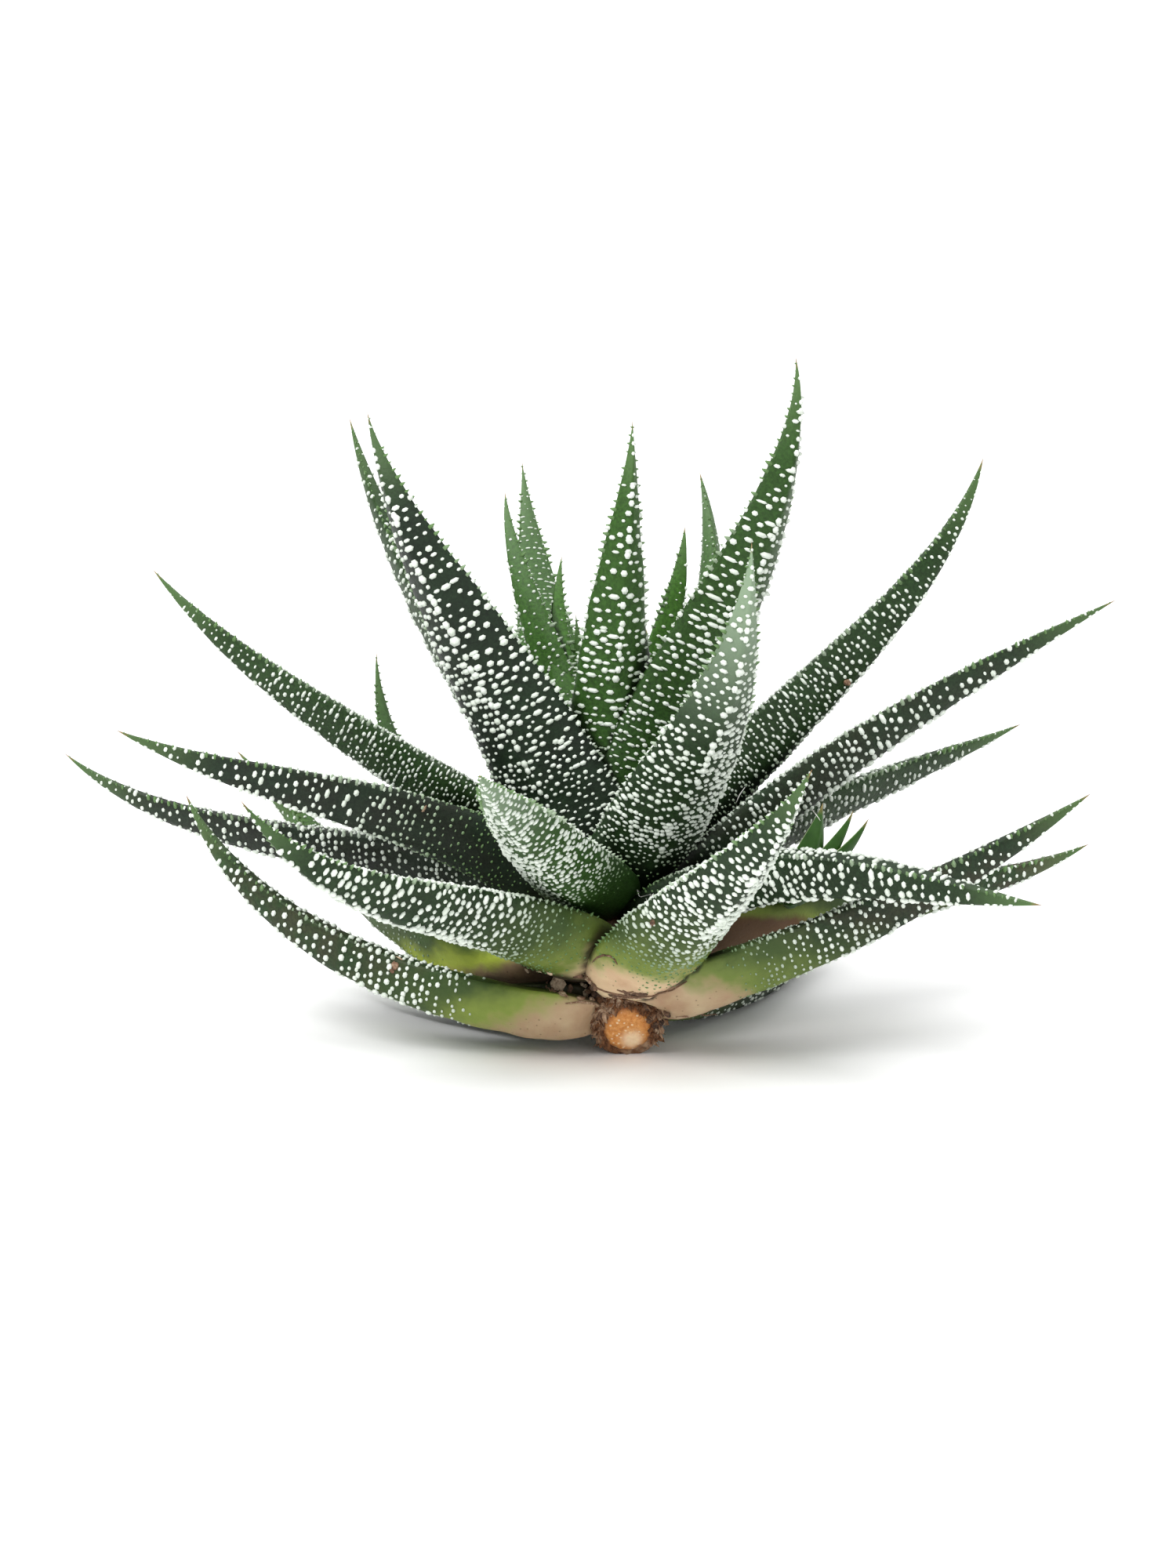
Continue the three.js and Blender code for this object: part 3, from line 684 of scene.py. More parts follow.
# how far a spot is past the tan heel, which reaches further on the keel, with a cloudy edge
heel_bias = add(tree, "ShaderNodeMapRange",
                {"Value": low, "From Min": 0.2, "To Min": 0.3, "To Max": 1.6})
heel_here = add(tree, "ShaderNodeMath", {0: heel_reach, 1: heel_bias}, operation="MULTIPLY")
past_heel = add(tree, "ShaderNodeMath", {0: length_on, 1: heel_here}, operation="SUBTRACT")
cloudy = add(tree, "ShaderNodeMapRange",
             {"Value": cloud, "From Min": 0.3, "From Max": 0.7, "To Min": -CLOUDY_EDGE * MM,
              "To Max": CLOUDY_EDGE * MM})
past = add(tree, "ShaderNodeMath", {0: past_heel, 1: cloudy}, operation="ADD")
shown = add(tree, "ShaderNodeMapRange",
            {"Value": heel_reach, "From Min": 0, "From Max": FAINT_HEEL * MM})

# the green turns olive, then yellow, then tan, each between two distances past the heel in mm
olive, yellowing, tanning = [
    add(tree, "ShaderNodeMapRange",
        {"Value": past, "From Min": starts * MM, "From Max": ends * MM, "To Max": most},
        interpolation_type="SMOOTHSTEP")
    for starts, ends, most in ((22, 7, shown), (11, 1, shown), (3, -2.5, 0.95))]
tan_here = add(tree, "ShaderNodeMath", {0: tanning, 1: shown}, operation="MULTIPLY")
yellow = add(tree, "ShaderNodeMix",
             {FACTOR: young, UNDER: linear(HEEL_YELLOW), OVER: linear(HEEL_YELLOW_YOUNG)},
             data_type="RGBA").outputs[MIXED]
pinks = add(tree, "ShaderNodeMix", {FACTOR: mottle, UNDER: linear(HEEL_PINK), OVER: linear(HEEL_TAN)},
            data_type="RGBA").outputs[MIXED]
# the heel browns with age, and on heels deep in shade its brown is also painted shade
browned_heel = add(tree, "ShaderNodeMix", {FACTOR: browned, UNDER: pinks, OVER: linear(HEEL_BROWN)},
           data_type="RGBA").outputs[MIXED]

# a few dark specks where the skin is pale
specks = add(tree, "ShaderNodeTexVoronoi", {"Vector": place, "Scale": 1 / (SPECK_APART * MM)})
speck = add(tree, "ShaderNodeMapRange",
            {"Value": specks, "From Min": 0.16, "From Max": 0.08, "To Max": 0.6})
speck_here = add(tree, "ShaderNodeMath", {0: speck, 1: tan_here}, operation="MULTIPLY")
colour = grained
for here, over in (
    (to_tip, linear(LEAF_TIP)), (greying_to_tip, linear(LEAF_TIP_GREY)), (to_point, linear(LEAF_POINT)),
    (olive, linear(HEEL_OLIVE)), (yellowing, yellow), (tan_here, browned_heel),
    (speck_here, linear(HEEL_SPECK)),
):
    colour = add(tree, "ShaderNodeMix", {FACTOR: here, UNDER: colour, OVER: over},
                 data_type="RGBA").outputs[MIXED]

# painted shade: the skin is darkened in the gaps between leaves, where shade falls deep
gap_shaded = add(tree, "ShaderNodeMapRange",
             {"Value": gap, "From Min": 0.08, "From Max": 0.52, "To Min": 1.0, "To Max": 0.2},
             interpolation_type="SMOOTHSTEP")
darkened = add(tree, "ShaderNodeVectorMath", {0: colour, "Scale": gap_shaded}, operation="SCALE")
bump = add(tree, "ShaderNodeBump", {"Height": pebbles, "Strength": 0.5, "Distance": PEBBLE_RELIEF * MM})
leaf_shader = add(tree, "ShaderNodeBsdfPrincipled",
                  {"Base Color": darkened, "Normal": bump, "Roughness": 0.5, "IOR": 1.42,
                   "Specular IOR Level": 0.3, "Subsurface Weight": 0.08,
                   "Subsurface Radius": (0.5, 1.0, 0.3), "Subsurface Scale": 1.2 * MM})
add(tree, "ShaderNodeOutputMaterial", {"Surface": leaf_shader})

# A wart is a bead of dead, air-filled skin: pearly white, a little glossy, green near the heel.
pearly_wart, tree = new_material("pearly_wart")
pale = add(tree, "ShaderNodeAttribute", attribute_name="pale").outputs["Fac"]
wart_colour = add(tree, "ShaderNodeMix", {FACTOR: pale, UNDER: linear(WART_GREEN), OVER: linear(WART_WHITE)},
                  data_type="RGBA").outputs[MIXED]
bead = add(tree, "ShaderNodeBsdfPrincipled",
           {"Base Color": wart_colour, "Roughness": 0.42, "IOR": 1.42,
            "Subsurface Weight": 0.1, "Subsurface Radius": (1.0, 1.0, 0.8),
            "Subsurface Scale": 0.3 * MM})
add(tree, "ShaderNodeOutputMaterial", {"Surface": bead})


def shape_curve(node, points):
    """Gives a curve node its points, from 0 to 1, the two ends among them."""
    curve = node.mapping.curves[0]
    curve.points[0].location = points[0]
    curve.points[1].location = points[-1]
    for spot, height in points[1:-1]:
        curve.points.new(spot, height)
    node.mapping.update()


# The tree that raises the warts: beads scattered closer and closer towards the heel and drawn
# into crosswise rows, a row of longer ones on the keel, and a row of teeth down each margin.
warts, given = new_geometry_tree(
    "warts_on_a_leaf", ("Size", "Spacing", "Drawn out", "Smooth up to", "Green up to"))
on_leaf = {}
for name, kind in (("share", "FLOAT"), ("length", "FLOAT"), ("edge", "FLOAT"), ("ridge", "FLOAT"),
                   ("gap", "FLOAT"), ("facing", "FLOAT_VECTOR"), ("lengthwise", "FLOAT_VECTOR")):
    node = add(warts, "GeometryNodeInputNamedAttribute", {"Name": name}, data_type=kind)
    on_leaf[name] = node.outputs["Attribute"]
place = add(warts, "GeometryNodeInputPosition")
normal = add(warts, "GeometryNodeInputNormal")
off_smooth = add(warts, "ShaderNodeMath", {0: on_leaf["length"], 1: given["Smooth up to"]},
                 operation="SUBTRACT")
faced = add(warts, "GeometryNodeStoreNamedAttribute",
            {"Geometry": given["Geometry"], "Name": "facing", "Value": normal},
            data_type="FLOAT_VECTOR")

# each zone of the leaf, by its share of the length, has its own spacing and pitch of rows, which
# wander, and into which the beads are pulled the more the further up the leaf they are
SPACING_BY_ZONE = ((-1, 0.3, 0.62), (0.3, 0.52, 0.8), (0.52, 1, 1.0))
# per square metre, before the spacing thins them
WARTS_DENSEST = 6e6
ROW_PITCH = 0.95
ROW_PULL = 0.6
ROW_WAVE = 5
ROWS_ASTRAY = 2.5
APART = 0.82
row_pull = add(warts, "ShaderNodeMapRange",
               {"Value": on_leaf["share"], "From Min": 0.12, "From Max": 0.45, "To Min": 0.1,
                "To Max": ROW_PULL})
wobble = add(warts, "ShaderNodeTexNoise",
             {"Vector": place, "Scale": 1 / (ROW_WAVE * MM), "Detail": 1.0})
beads_at = add(warts, "GeometryNodeJoinGeometry")
for start, end, closer in SPACING_BY_ZONE:
    past = add(warts, "FunctionNodeCompare", {0: on_leaf["share"], 1: start},
               operation="GREATER_THAN")
    before = add(warts, "FunctionNodeCompare", {0: on_leaf["share"], 1: end},
                 operation="LESS_EQUAL")
    in_zone = add(warts, "FunctionNodeBooleanMath", {0: past, 1: before}, operation="AND")
    spacing = add(warts, "ShaderNodeMath", {0: given["Spacing"], 1: closer}, operation="MULTIPLY")
    scattered = add(warts, "GeometryNodeDistributePointsOnFaces",
                    {"Mesh": faced, "Selection": in_zone, "Distance Min": spacing,
                     "Density Max": WARTS_DENSEST, "Seed": given["Seed"]},
                    distribute_method="POISSON")
    pitch = add(warts, "ShaderNodeMath", {0: spacing, 1: ROW_PITCH}, operation="MULTIPLY")
    row = add(warts, "ShaderNodeMath", {0: on_leaf["length"], 1: pitch}, operation="DIVIDE")
    wavy = add(warts, "ShaderNodeMath", {0: wobble, 1: ROWS_ASTRAY, 2: row},
               operation="MULTIPLY_ADD")
    in_row = add(warts, "ShaderNodeMath", {0: wavy}, operation="FRACT")
    slide = add(warts, "ShaderNodeMath", {0: 0.5, 1: in_row}, operation="SUBTRACT")
    for factor in (row_pull, pitch):
        slide = add(warts, "ShaderNodeMath", {0: slide, 1: factor}, operation="MULTIPLY")
    slide_along = add(warts, "ShaderNodeVectorMath", {0: on_leaf["lengthwise"], "Scale": slide},
                      operation="SCALE")
    in_rows = add(warts, "GeometryNodeSetPosition",
                  {"Geometry": scattered, "Offset": slide_along})
    apart = add(warts, "ShaderNodeMath", {0: spacing, 1: APART}, operation="MULTIPLY")
    spaced = add(warts, "GeometryNodeMergeByDistance", {"Geometry": in_rows, "Distance": apart})
    warts.links.new(spaced.outputs[0], beads_at.inputs[0])

# the chance that a bead is kept: none on the smooth heel, fewer towards the tip
THINNED_OVER = 5
keep_curve = add(warts, "ShaderNodeFloatCurve", {"Value": on_leaf["share"]})
shape_curve(keep_curve, ((0.0, 0.95), (0.55, 1.0), (0.78, 0.97), (0.93, 0.9), (1.0, 0.0)))
past_heel = add(warts, "ShaderNodeMapRange",
                {"Value": off_smooth, "From Min": 0, "From Max": THINNED_OVER * MM})
keep = add(warts, "ShaderNodeMath", {0: keep_curve, 1: past_heel}, operation="MULTIPLY")
chance = add(warts, "FunctionNodeRandomValue", {"Seed": given["Seed"]})
drop = add(warts, "FunctionNodeCompare", {0: chance.outputs[1], 1: keep}, operation="GREATER_THAN")
thinned = add(warts, "GeometryNodeDeleteGeometry", {"Geometry": beads_at, "Selection": drop})

# the keel's own beads stand on some of the ridge's corners in the upper part, and the margins'
# teeth on most of the edge's corners above the heel
OFF_HEEL = 2
off_heel, on_ridge, on_edge, upper_part = [
    add(warts, "FunctionNodeCompare", {0: value, 1: limit}, operation="GREATER_THAN")
    for value, limit in ((off_smooth, OFF_HEEL * MM), (on_leaf["ridge"], 0.5), (on_leaf["edge"], 0.5),
                         (on_leaf["share"], 0.4))]
lines_of_spots = []
for on_line, on_part, odds, seed in ((on_ridge, upper_part, 0.4, 31), (on_edge, off_heel, 0.9, 5)):
    chance = add(warts, "FunctionNodeRandomValue", {"Probability": odds, "Seed": seed},
                 data_type="BOOLEAN")
    may_stand = add(warts, "FunctionNodeBooleanMath", {0: on_line, 1: on_part}, operation="AND")
    stands = add(warts, "FunctionNodeBooleanMath", {0: may_stand, 1: chance.outputs[3]},
                 operation="AND")
    lines_of_spots.append(
        add(warts, "GeometryNodeMeshToPoints", {"Mesh": faced, "Selection": stands}))
ridge_spots, tooth_spots = lines_of_spots
spots = add(warts, "GeometryNodeJoinGeometry")
for joining in (thinned, ridge_spots):
    warts.links.new(joining.outputs[0], spots.inputs[0])

# how pale: green up to a given height, then white, and darker in the gaps between leaves as painted shade
off_green = add(warts, "ShaderNodeMath", {0: on_leaf["length"], 1: given["Green up to"]},
                operation="DIVIDE")
whitened = add(warts, "ShaderNodeMapRange", {"Value": off_green, "From Min": 0.45, "From Max": 1.1},
               interpolation_type="SMOOTHSTEP")
pale_chance = add(warts, "FunctionNodeRandomValue", {2: 0.82, 3: 1.0, "Seed": 47})
wart_gap_shade = add(warts, "ShaderNodeMapRange",
            {"Value": on_leaf["gap"], "From Min": 0.12, "From Max": 0.6, "To Min": 1.0,
             "To Max": 0.35})
pale_here = whitened
for factor in (wart_gap_shade, pale_chance.outputs[1]):
    pale_here = add(warts, "ShaderNodeMath", {0: pale_here, 1: factor}, operation="MULTIPLY")
paled = add(warts, "GeometryNodeStoreNamedAttribute",
            {"Geometry": spots, "Name": "pale", "Value": pale_here})

# how large: small where it is green, largest above the middle, small at the tip, and never alike
size_curve = add(warts, "ShaderNodeFloatCurve", {"Value": on_leaf["share"]})
shape_curve(size_curve, ((0.0, 0.45), (0.15, 0.58), (0.3, 0.8), (0.45, 0.95), (0.6, 1.0),
                         (0.8, 0.88), (0.92, 0.64), (1.0, 0.1)))
size_chance = add(warts, "FunctionNodeRandomValue", {"Seed": 11})
size_spread = add(warts, "ShaderNodeMapRange",
                  {"Value": size_chance.outputs[1], "To Min": 0.55, "To Max": 1.3})
green_size = add(warts, "ShaderNodeMapRange", {"Value": whitened, "To Min": 0.6, "To Max": 1.0})
size = size_curve
for factor in (size_spread, given["Size"], green_size):
    size = add(warts, "ShaderNodeMath", {0: size, 1: factor}, operation="MULTIPLY")

# what shape: a few are drawn out crosswise and so slimmer, and the keel's lie lengthwise
SELDOM = 2.5
LONG_AT_LEAST = 1.14
LONG_MORE = 1.1
SLIMMER = -0.32
ON_KEEL = 1.5
TALL = 0.9
long_chance = add(warts, "FunctionNodeRandomValue", {"Seed": 23})
long_seldom = add(warts, "ShaderNodeMath", {0: long_chance.outputs[1], 1: SELDOM},
                  operation="POWER")
long_more = add(warts, "ShaderNodeMath", {0: given["Drawn out"], 1: 1.0}, operation="SUBTRACT")
long_share = add(warts, "ShaderNodeMath", {0: long_seldom, 1: long_more}, operation="MULTIPLY")
longer = add(warts, "ShaderNodeMath", {0: long_share, 1: LONG_MORE, 2: LONG_AT_LEAST},
             operation="MULTIPLY_ADD")
slimmer = add(warts, "ShaderNodeMath", {0: longer, 1: SLIMMER}, operation="POWER")
lengthways = add(warts, "ShaderNodeMapRange",
                 {"Value": on_leaf["ridge"], "From Min": 0.5, "To Min": slimmer,
                  "To Max": ON_KEEL})
wide, long, tall = [add(warts, "ShaderNodeMath", {0: size, 1: factor}, operation="MULTIPLY")
                    for factor in (longer, lengthways, TALL)]
bead_size = add(warts, "ShaderNodeCombineXYZ", {0: wide, 1: long, 2: tall})
upright = add(warts, "FunctionNodeAlignRotationToVector", {"Vector": on_leaf["facing"]}, axis="Z")
turned = add(warts, "FunctionNodeAlignRotationToVector",
             {"Rotation": upright, "Vector": on_leaf["lengthwise"]}, axis="Y", pivot_axis="Z")
bead_shape = add(warts, "GeometryNodeMeshUVSphere", {"Segments": 6, "Rings": 3, "Radius": 0.5})
bead_smooth = add(warts, "GeometryNodeSetShadeSmooth", {"Geometry": bead_shape})
beads = add(warts, "GeometryNodeInstanceOnPoints",
            {"Points": paled, "Instance": bead_smooth, "Rotation": turned, "Scale": bead_size})

# the teeth point outwards, green near the tip and paler below it
TOOTH = 0.6
TOOTH_SUNK = 0.35
tooth_white = add(warts, "ShaderNodeMapRange",
                  {"Value": on_leaf["share"], "From Min": 0.3, "From Max": 0.75, "To Min": 0.75,
                   "To Max": 0.0})
tooth_pale = add(warts, "ShaderNodeMath", {0: tooth_white, 1: whitened}, operation="MULTIPLY")
teeth_paled = add(warts, "GeometryNodeStoreNamedAttribute",
                  {"Geometry": tooth_spots, "Name": "pale", "Value": tooth_pale})
tooth_curve = add(warts, "ShaderNodeFloatCurve", {"Value": on_leaf["share"]})
shape_curve(tooth_curve, ((0.0, 0.4), (0.3, 0.8), (0.7, 1.0), (0.92, 0.6), (1.0, 0.3)))
tooth_size = tooth_curve
for factor in (size_spread, TOOTH * MM):
    tooth_size = add(warts, "ShaderNodeMath", {0: tooth_size, 1: factor}, operation="MULTIPLY")
tooth_shape = add(warts, "GeometryNodeMeshCone",
                  {"Vertices": 6, "Radius Top": 0.12, "Radius Bottom": 0.5, "Depth": 1.1})
tooth_sunk = add(warts, "GeometryNodeTransform",
                 {"Geometry": tooth_shape, "Translation": (0, 0, -TOOTH_SUNK)})
tooth_smooth = add(warts, "GeometryNodeSetShadeSmooth", {"Geometry": tooth_sunk})
teeth = add(warts, "GeometryNodeInstanceOnPoints",
            {"Points": teeth_paled, "Instance": tooth_smooth, "Rotation": upright,
             "Scale": tooth_size})

# none where the leaf is pressed on the table
PRESSED = 0.4
raised = add(warts, "GeometryNodeJoinGeometry")
for joining in (beads, teeth):
    warts.links.new(joining.outputs[0], raised.inputs[0])
height = add(warts, "ShaderNodeSeparateXYZ", {0: place}).outputs["Z"]
pressed = add(warts, "FunctionNodeCompare", {0: height, 1: PRESSED * MM}, operation="LESS_THAN")
clear = add(warts, "GeometryNodeDeleteGeometry", {"Geometry": raised, "Selection": pressed},
            domain="INSTANCE")
real = add(warts, "GeometryNodeRealizeInstances", {"Geometry": clear})
white = add(warts, "GeometryNodeSetMaterial", {"Geometry": real, "Material": pearly_wart})
green = add(warts, "GeometryNodeSetMaterial", {"Geometry": faced, "Material": waxy_skin})
whole = add(warts, "GeometryNodeJoinGeometry")
for joining in (white, green):
    warts.links.new(joining.outputs[0], whole.inputs[0])
add(warts, "NodeGroupOutput", {"Geometry": whole})


def gather(piece, corners, faces):
    """Adds a piece's corners and faces to those of others."""
    first = len(corners)
    corners += [corner.co.copy() for corner in piece.data.vertices]
    faces += [[first + i for i in face.vertices] for face in piece.data.polygons]


bare_corners = []
bare_faces = []
blades = {}
for name, (turn, seat, length, lift, sway, width, thick) in LEAF_SHAPES.items():
    line = leaf_line(turn, seat, length, lift, sway, round(length / RING_STEP), ROOTS.get(name))
    full = HEEL_FULL.get(name, HALF_FULL)
    blades[name] = leaf_blade(name + "_skin", line, length, width, thick, full, LEAF_AROUND,
                              SKIN_RIPPLE, waxy_skin)
    gather(blades[name], bare_corners, bare_faces)
bare_leaves = BVHTree.FromPolygons(bare_corners, bare_faces)
GAP_REACH = 6
OFF_SKIN = 0.06
FEELER_LEAN = math.radians(50)
FEELERS = 4


def shut_in(corner):
    """How far a corner lies in a gap between leaves: 0 in the open, 1 where they nearly touch."""
    facing = corner.normal
    side = facing.orthogonal().normalized()
    start = corner.co + facing * OFF_SKIN * MM
    feelers = [facing]
    for spot in range(FEELERS):
        around = Matrix.Rotation(2 * math.pi * spot / FEELERS, 3, facing) @ side
        feelers.append(facing * math.cos(FEELER_LEAN) + around * math.sin(FEELER_LEAN))
    shut = 0
    for feeler in feelers:
        reached = bare_leaves.ray_cast(start, feeler, GAP_REACH * MM)[3]
        if reached is not None:
            shut += 1 - reached / (GAP_REACH * MM)
    return shut / len(feelers)


# Each leaf keeps how shut in between leaves each of its corners is: its skin and warts are darkened there as
# painted shade.
for order, (name, piece) in enumerate(blades.items()):
    youth, browning, tan_mm, smooth_mm, green_mm, wart, spacing, drawn_out = LEAF_LOOKS[name]
    store(piece, "young", youth)
    store(piece, "browned", browning)
    store(piece, "heel", tan_mm * MM)
    store(piece, "tip_greyed", TIP_GREYED.get(name, 0.0))
    store(piece, "gap", [shut_in(corner) * GAP_SHADE_KEPT.get(name, 1) for corner in piece.data.vertices])
    grow(piece, warts, {
        "Size": wart * MM, "Spacing": spacing * MM, "Drawn out": drawn_out,
        "Smooth up to": smooth_mm * MM, "Green up to": green_mm * MM, "Seed": order,
    })
    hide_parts(name)
    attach(piece, "root")

# The offset: a young plant on a short runner between the leaves at the right. Its few leaves are
# flat and smooth, with a thin translucent margin, and fused at their heels.

OFFSET_CENTRE = Vector((20.4, 0, 13.6))
OFFSET_WIDTH = 5.2
OFFSET_THICK = 1.8
OFFSET_AROUND = 20
OFFSET_STEPS = 20
OFFSET_RIPPLE = 0.1
OFFSET_GREEN_DARK = "1b3d11"
OFFSET_GREEN = "47752c"
OFFSET_MARGIN = "c9d6a8"
OFFSET_POINT = "9b7a50"
# turn, length and lift of each leaf
OFFSET_LEAVES = (
    (53, 12, (44, 49, 60)),
    (23, 12.5, (38, 44, 56)),
    (11, 13, (32, 38, 52)),
    (338, 9, (30, 40, 55)),
    (290, 9, (50, 60, 75)),
)

# Young skin is thin and satin, mottled in two greens, with no wax and no warts on it yet.
young_skin, tree = new_material("thin_young_leaf_skin")
MOTTLE = 2
place = add(tree, "ShaderNodeTexCoord").outputs["Object"]
share, edge = [add(tree, "ShaderNodeAttribute", attribute_name=name).outputs["Fac"]
               for name in ("share", "edge")]
mottle = add(tree, "ShaderNodeTexNoise",
             {"Vector": place, "Scale": 1 / (MOTTLE * MM), "Detail": 3.0})
at_edge = add(tree, "ShaderNodeMapRange",
              {"Value": edge, "From Min": 0.35, "From Max": 1.0, "To Max": 0.8})
to_point = add(tree, "ShaderNodeMapRange",
               {"Value": share, "From Min": 0.88, "From Max": 0.98, "To Max": 0.8})
colour = linear(OFFSET_GREEN_DARK)
for here, over in ((mottle, OFFSET_GREEN), (at_edge, OFFSET_MARGIN), (to_point, OFFSET_POINT)):
    colour = add(tree, "ShaderNodeMix", {FACTOR: here, UNDER: colour, OVER: linear(over)},
                 data_type="RGBA").outputs[MIXED]
young_shader = add(tree, "ShaderNodeBsdfPrincipled",
                   {"Base Color": colour, "Roughness": 0.42, "IOR": 1.42,
                    "Specular IOR Level": 0.35, "Subsurface Weight": 0.12,
                    "Subsurface Radius": (0.5, 1.0, 0.3), "Subsurface Scale": 1.0 * MM})
add(tree, "ShaderNodeOutputMaterial", {"Surface": young_shader})

corners = []
faces = []
on_offset = {"share": [], "edge": []}
for turn, length, lift in OFFSET_LEAVES:
    line = leaf_line(turn, OFFSET_CENTRE.z, length, lift, 0, OFFSET_STEPS, OFFSET_CENTRE.xy)
    blade = leaf_blade("offset_leaf", line, length, OFFSET_WIDTH, OFFSET_THICK, HALF_FULL,
                       OFFSET_AROUND, OFFSET_RIPPLE, young_skin)
    gather(blade, corners, faces)
    for key, numbers in on_offset.items():
        numbers += [kept.value for kept in blade.data.attributes[key].data]
    bpy.data.objects.remove(blade)
offset_leaves = solid_mesh("offset_leaves", corners, faces, young_skin)
for key, numbers in on_offset.items():
    store(offset_leaves, key, numbers)
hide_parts("offset_right")
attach(offset_leaves, "root")

# What has dried or caught in the plant: papery scraps and strands of old leaf heels round the cut
# and in the hollow above it, a torn skin on the scarred leaf, and brown healed tears, where they
# grew, one of them also painted shade laid dark along the crease where one heel presses on the
# next, and crumbs of soil and lint, which only lie on it.

# Pixels of the photo are found on the plant by looking from where its camera stood: the lens and
# its sensor are in mm, and the photo's size is in pixels.
VIEW_FROM = Vector((-4.7, -583.2, 155.7)) * MM
VIEW_DOWN = math.radians(12)
LENS = 120
SENSOR = 36
PHOTO_WIDTH = 1500
PHOTO_HEIGHT = 2000
SCRAP_DARK = "35241a"
SCRAP_BROWN = "7d5f49"
SCRAP_PALE = "d8c3a6"
LINT_WHITE = "eceae4"

# Where each lies in the photo, in pixels, then its length, width and thickness in mm and its tone,
# from dark to pale.
SCRAPS_AT_THE_CUT = (
    (831, 1297, 1.7, 1.0, 0.6, 0.25), (840, 1291, 1.9, 1.1, 0.5, 0.45), (851, 1293, 1.6, 0.9, 0.5, 0.2),
    (858, 1302, 1.5, 0.9, 0.5, 0.5), (851, 1311, 1.5, 0.8, 0.5, 0.3), (839, 1306, 1.6, 1.1, 0.6, 0.1),
    (845, 1317, 1.5, 0.9, 0.4, 0.95), (829, 1287, 1.4, 0.8, 0.4, 0.35), (846, 1301, 1.3, 0.9, 0.6, 0.15),
    (836, 1314, 1.2, 0.7, 0.4, 0.7), (772, 1288, 1.8, 0.6, 0.4, 0.55), (780, 1281, 2.0, 0.7, 0.4, 0.4),
    (789, 1277, 1.8, 0.6, 0.4, 0.6), (800, 1279, 1.9, 0.8, 0.4, 0.3), (812, 1277, 2.0, 0.7, 0.4, 0.5),
    (822, 1281, 1.6, 0.7, 0.4, 0.2), (765, 1296, 1.6, 0.6, 0.4, 0.35), (757, 1306, 1.5, 0.5, 0.3, 0.5),
)
SCRAPS_IN_THE_HOLLOW = (
    (752, 1250, 1.5, 1.0, 0.5, 0.55), (758, 1259, 1.7, 1.0, 0.5, 0.3), (748, 1266, 1.3, 0.9, 0.5, 0.85),
    (763, 1268, 1.8, 0.9, 0.4, 0.15), (741, 1273, 1.6, 0.8, 0.4, 0.45), (771, 1273, 1.6, 0.8, 0.4, 0.35),
    (755, 1275, 1.5, 0.8, 0.4, 0.6), (737, 1245, 1.2, 0.7, 0.4, 0.3), (745, 1257, 1.0, 0.6, 0.4, 0.95),
    (785, 1270, 2.2, 0.8, 0.4, 0.25), (800, 1268, 2.2, 0.7, 0.4, 0.35), (815, 1268, 2.0, 0.7, 0.3, 0.2),
    (701, 1241, 0.8, 0.4, 0.3, 0.9), (688, 1239, 0.7, 0.4, 0.3, 0.8), (672, 1238, 0.8, 0.3, 0.3, 0.9),
)
TORN_SKIN = (
    (711, 1257, 2.6, 1.7, 0.35, 0.8), (717, 1268, 1.7, 0.9, 0.35, 0.6),
    (706, 1264, 1.3, 0.7, 0.3, 0.3), (727, 1262, 1.2, 0.6, 0.3, 0.35),
)
CRUMBS = (
    (504, 1231, 1.2, 0.8, 0.7, 0.45), (509, 1222, 1.6, 0.3, 0.3, 0.75), (1080, 870, 1.0, 0.8, 0.6, 0.55),
    (833, 1176, 0.8, 0.6, 0.5, 0.3), (541, 1033, 1.1, 0.4, 0.4, 0.6), (500, 1238, 0.7, 0.5, 0.5, 0.3),
)
# Each of these runs through its pixels of the photo.
HEALED_TEARS_AND_SHADE_LINE = (
    ((756, 1227), (762, 1221), (770, 1218), (778, 1219), (784, 1223), (788, 1231)),
    # this one runs along the crease where one leaf's heel presses on the next: partly a brown healed line,
    # partly painted shade of that crease
    ((745, 1241), (756, 1256), (775, 1265), (802, 1270), (832, 1270), (857, 1263), (880, 1249)),
    ((787, 1262), (798, 1266), (810, 1264)),
    ((700, 1250), (697, 1260), (702, 1270)),
)
DRY_STRANDS = (
    ((721, 1280), (739, 1278), (755, 1280), (768, 1284)),
    ((862, 1297), (876, 1296), (896, 1294), (918, 1294)),
    ((774, 1274), (786, 1271), (800, 1272), (822, 1272)),
    ((768, 1284), (776, 1290), (785, 1294)),
)
LINT = (
    ((814, 1137), (820, 1144), (827, 1150)),
    ((835, 1139), (830, 1145)),
    ((948, 1002), (941, 1012), (936, 1024)),
    ((1036, 1033), (1042, 1040), (1046, 1048)),
)
TEAR_AND_SHADE_LINE_RADIUS = 0.13
STRAND_RADIUS = 0.14
LINT_RADIUS = 0.06
# Tones, from dark to pale, and how far a thread is lifted, as a share of its radius.
TEAR_AND_SHADE_LINE_TONE = 0.35
STRAND_TONE = 0.55
LINT_TONE = 1.0
HALF_SUNK = 0.5
LINT_LIFTED = 6.0

for part in (stem_bark, stem_pith, offset_leaves):
    gather(part, bare_corners, bare_faces)
bare_plant = BVHTree.FromPolygons(bare_corners, bare_faces)


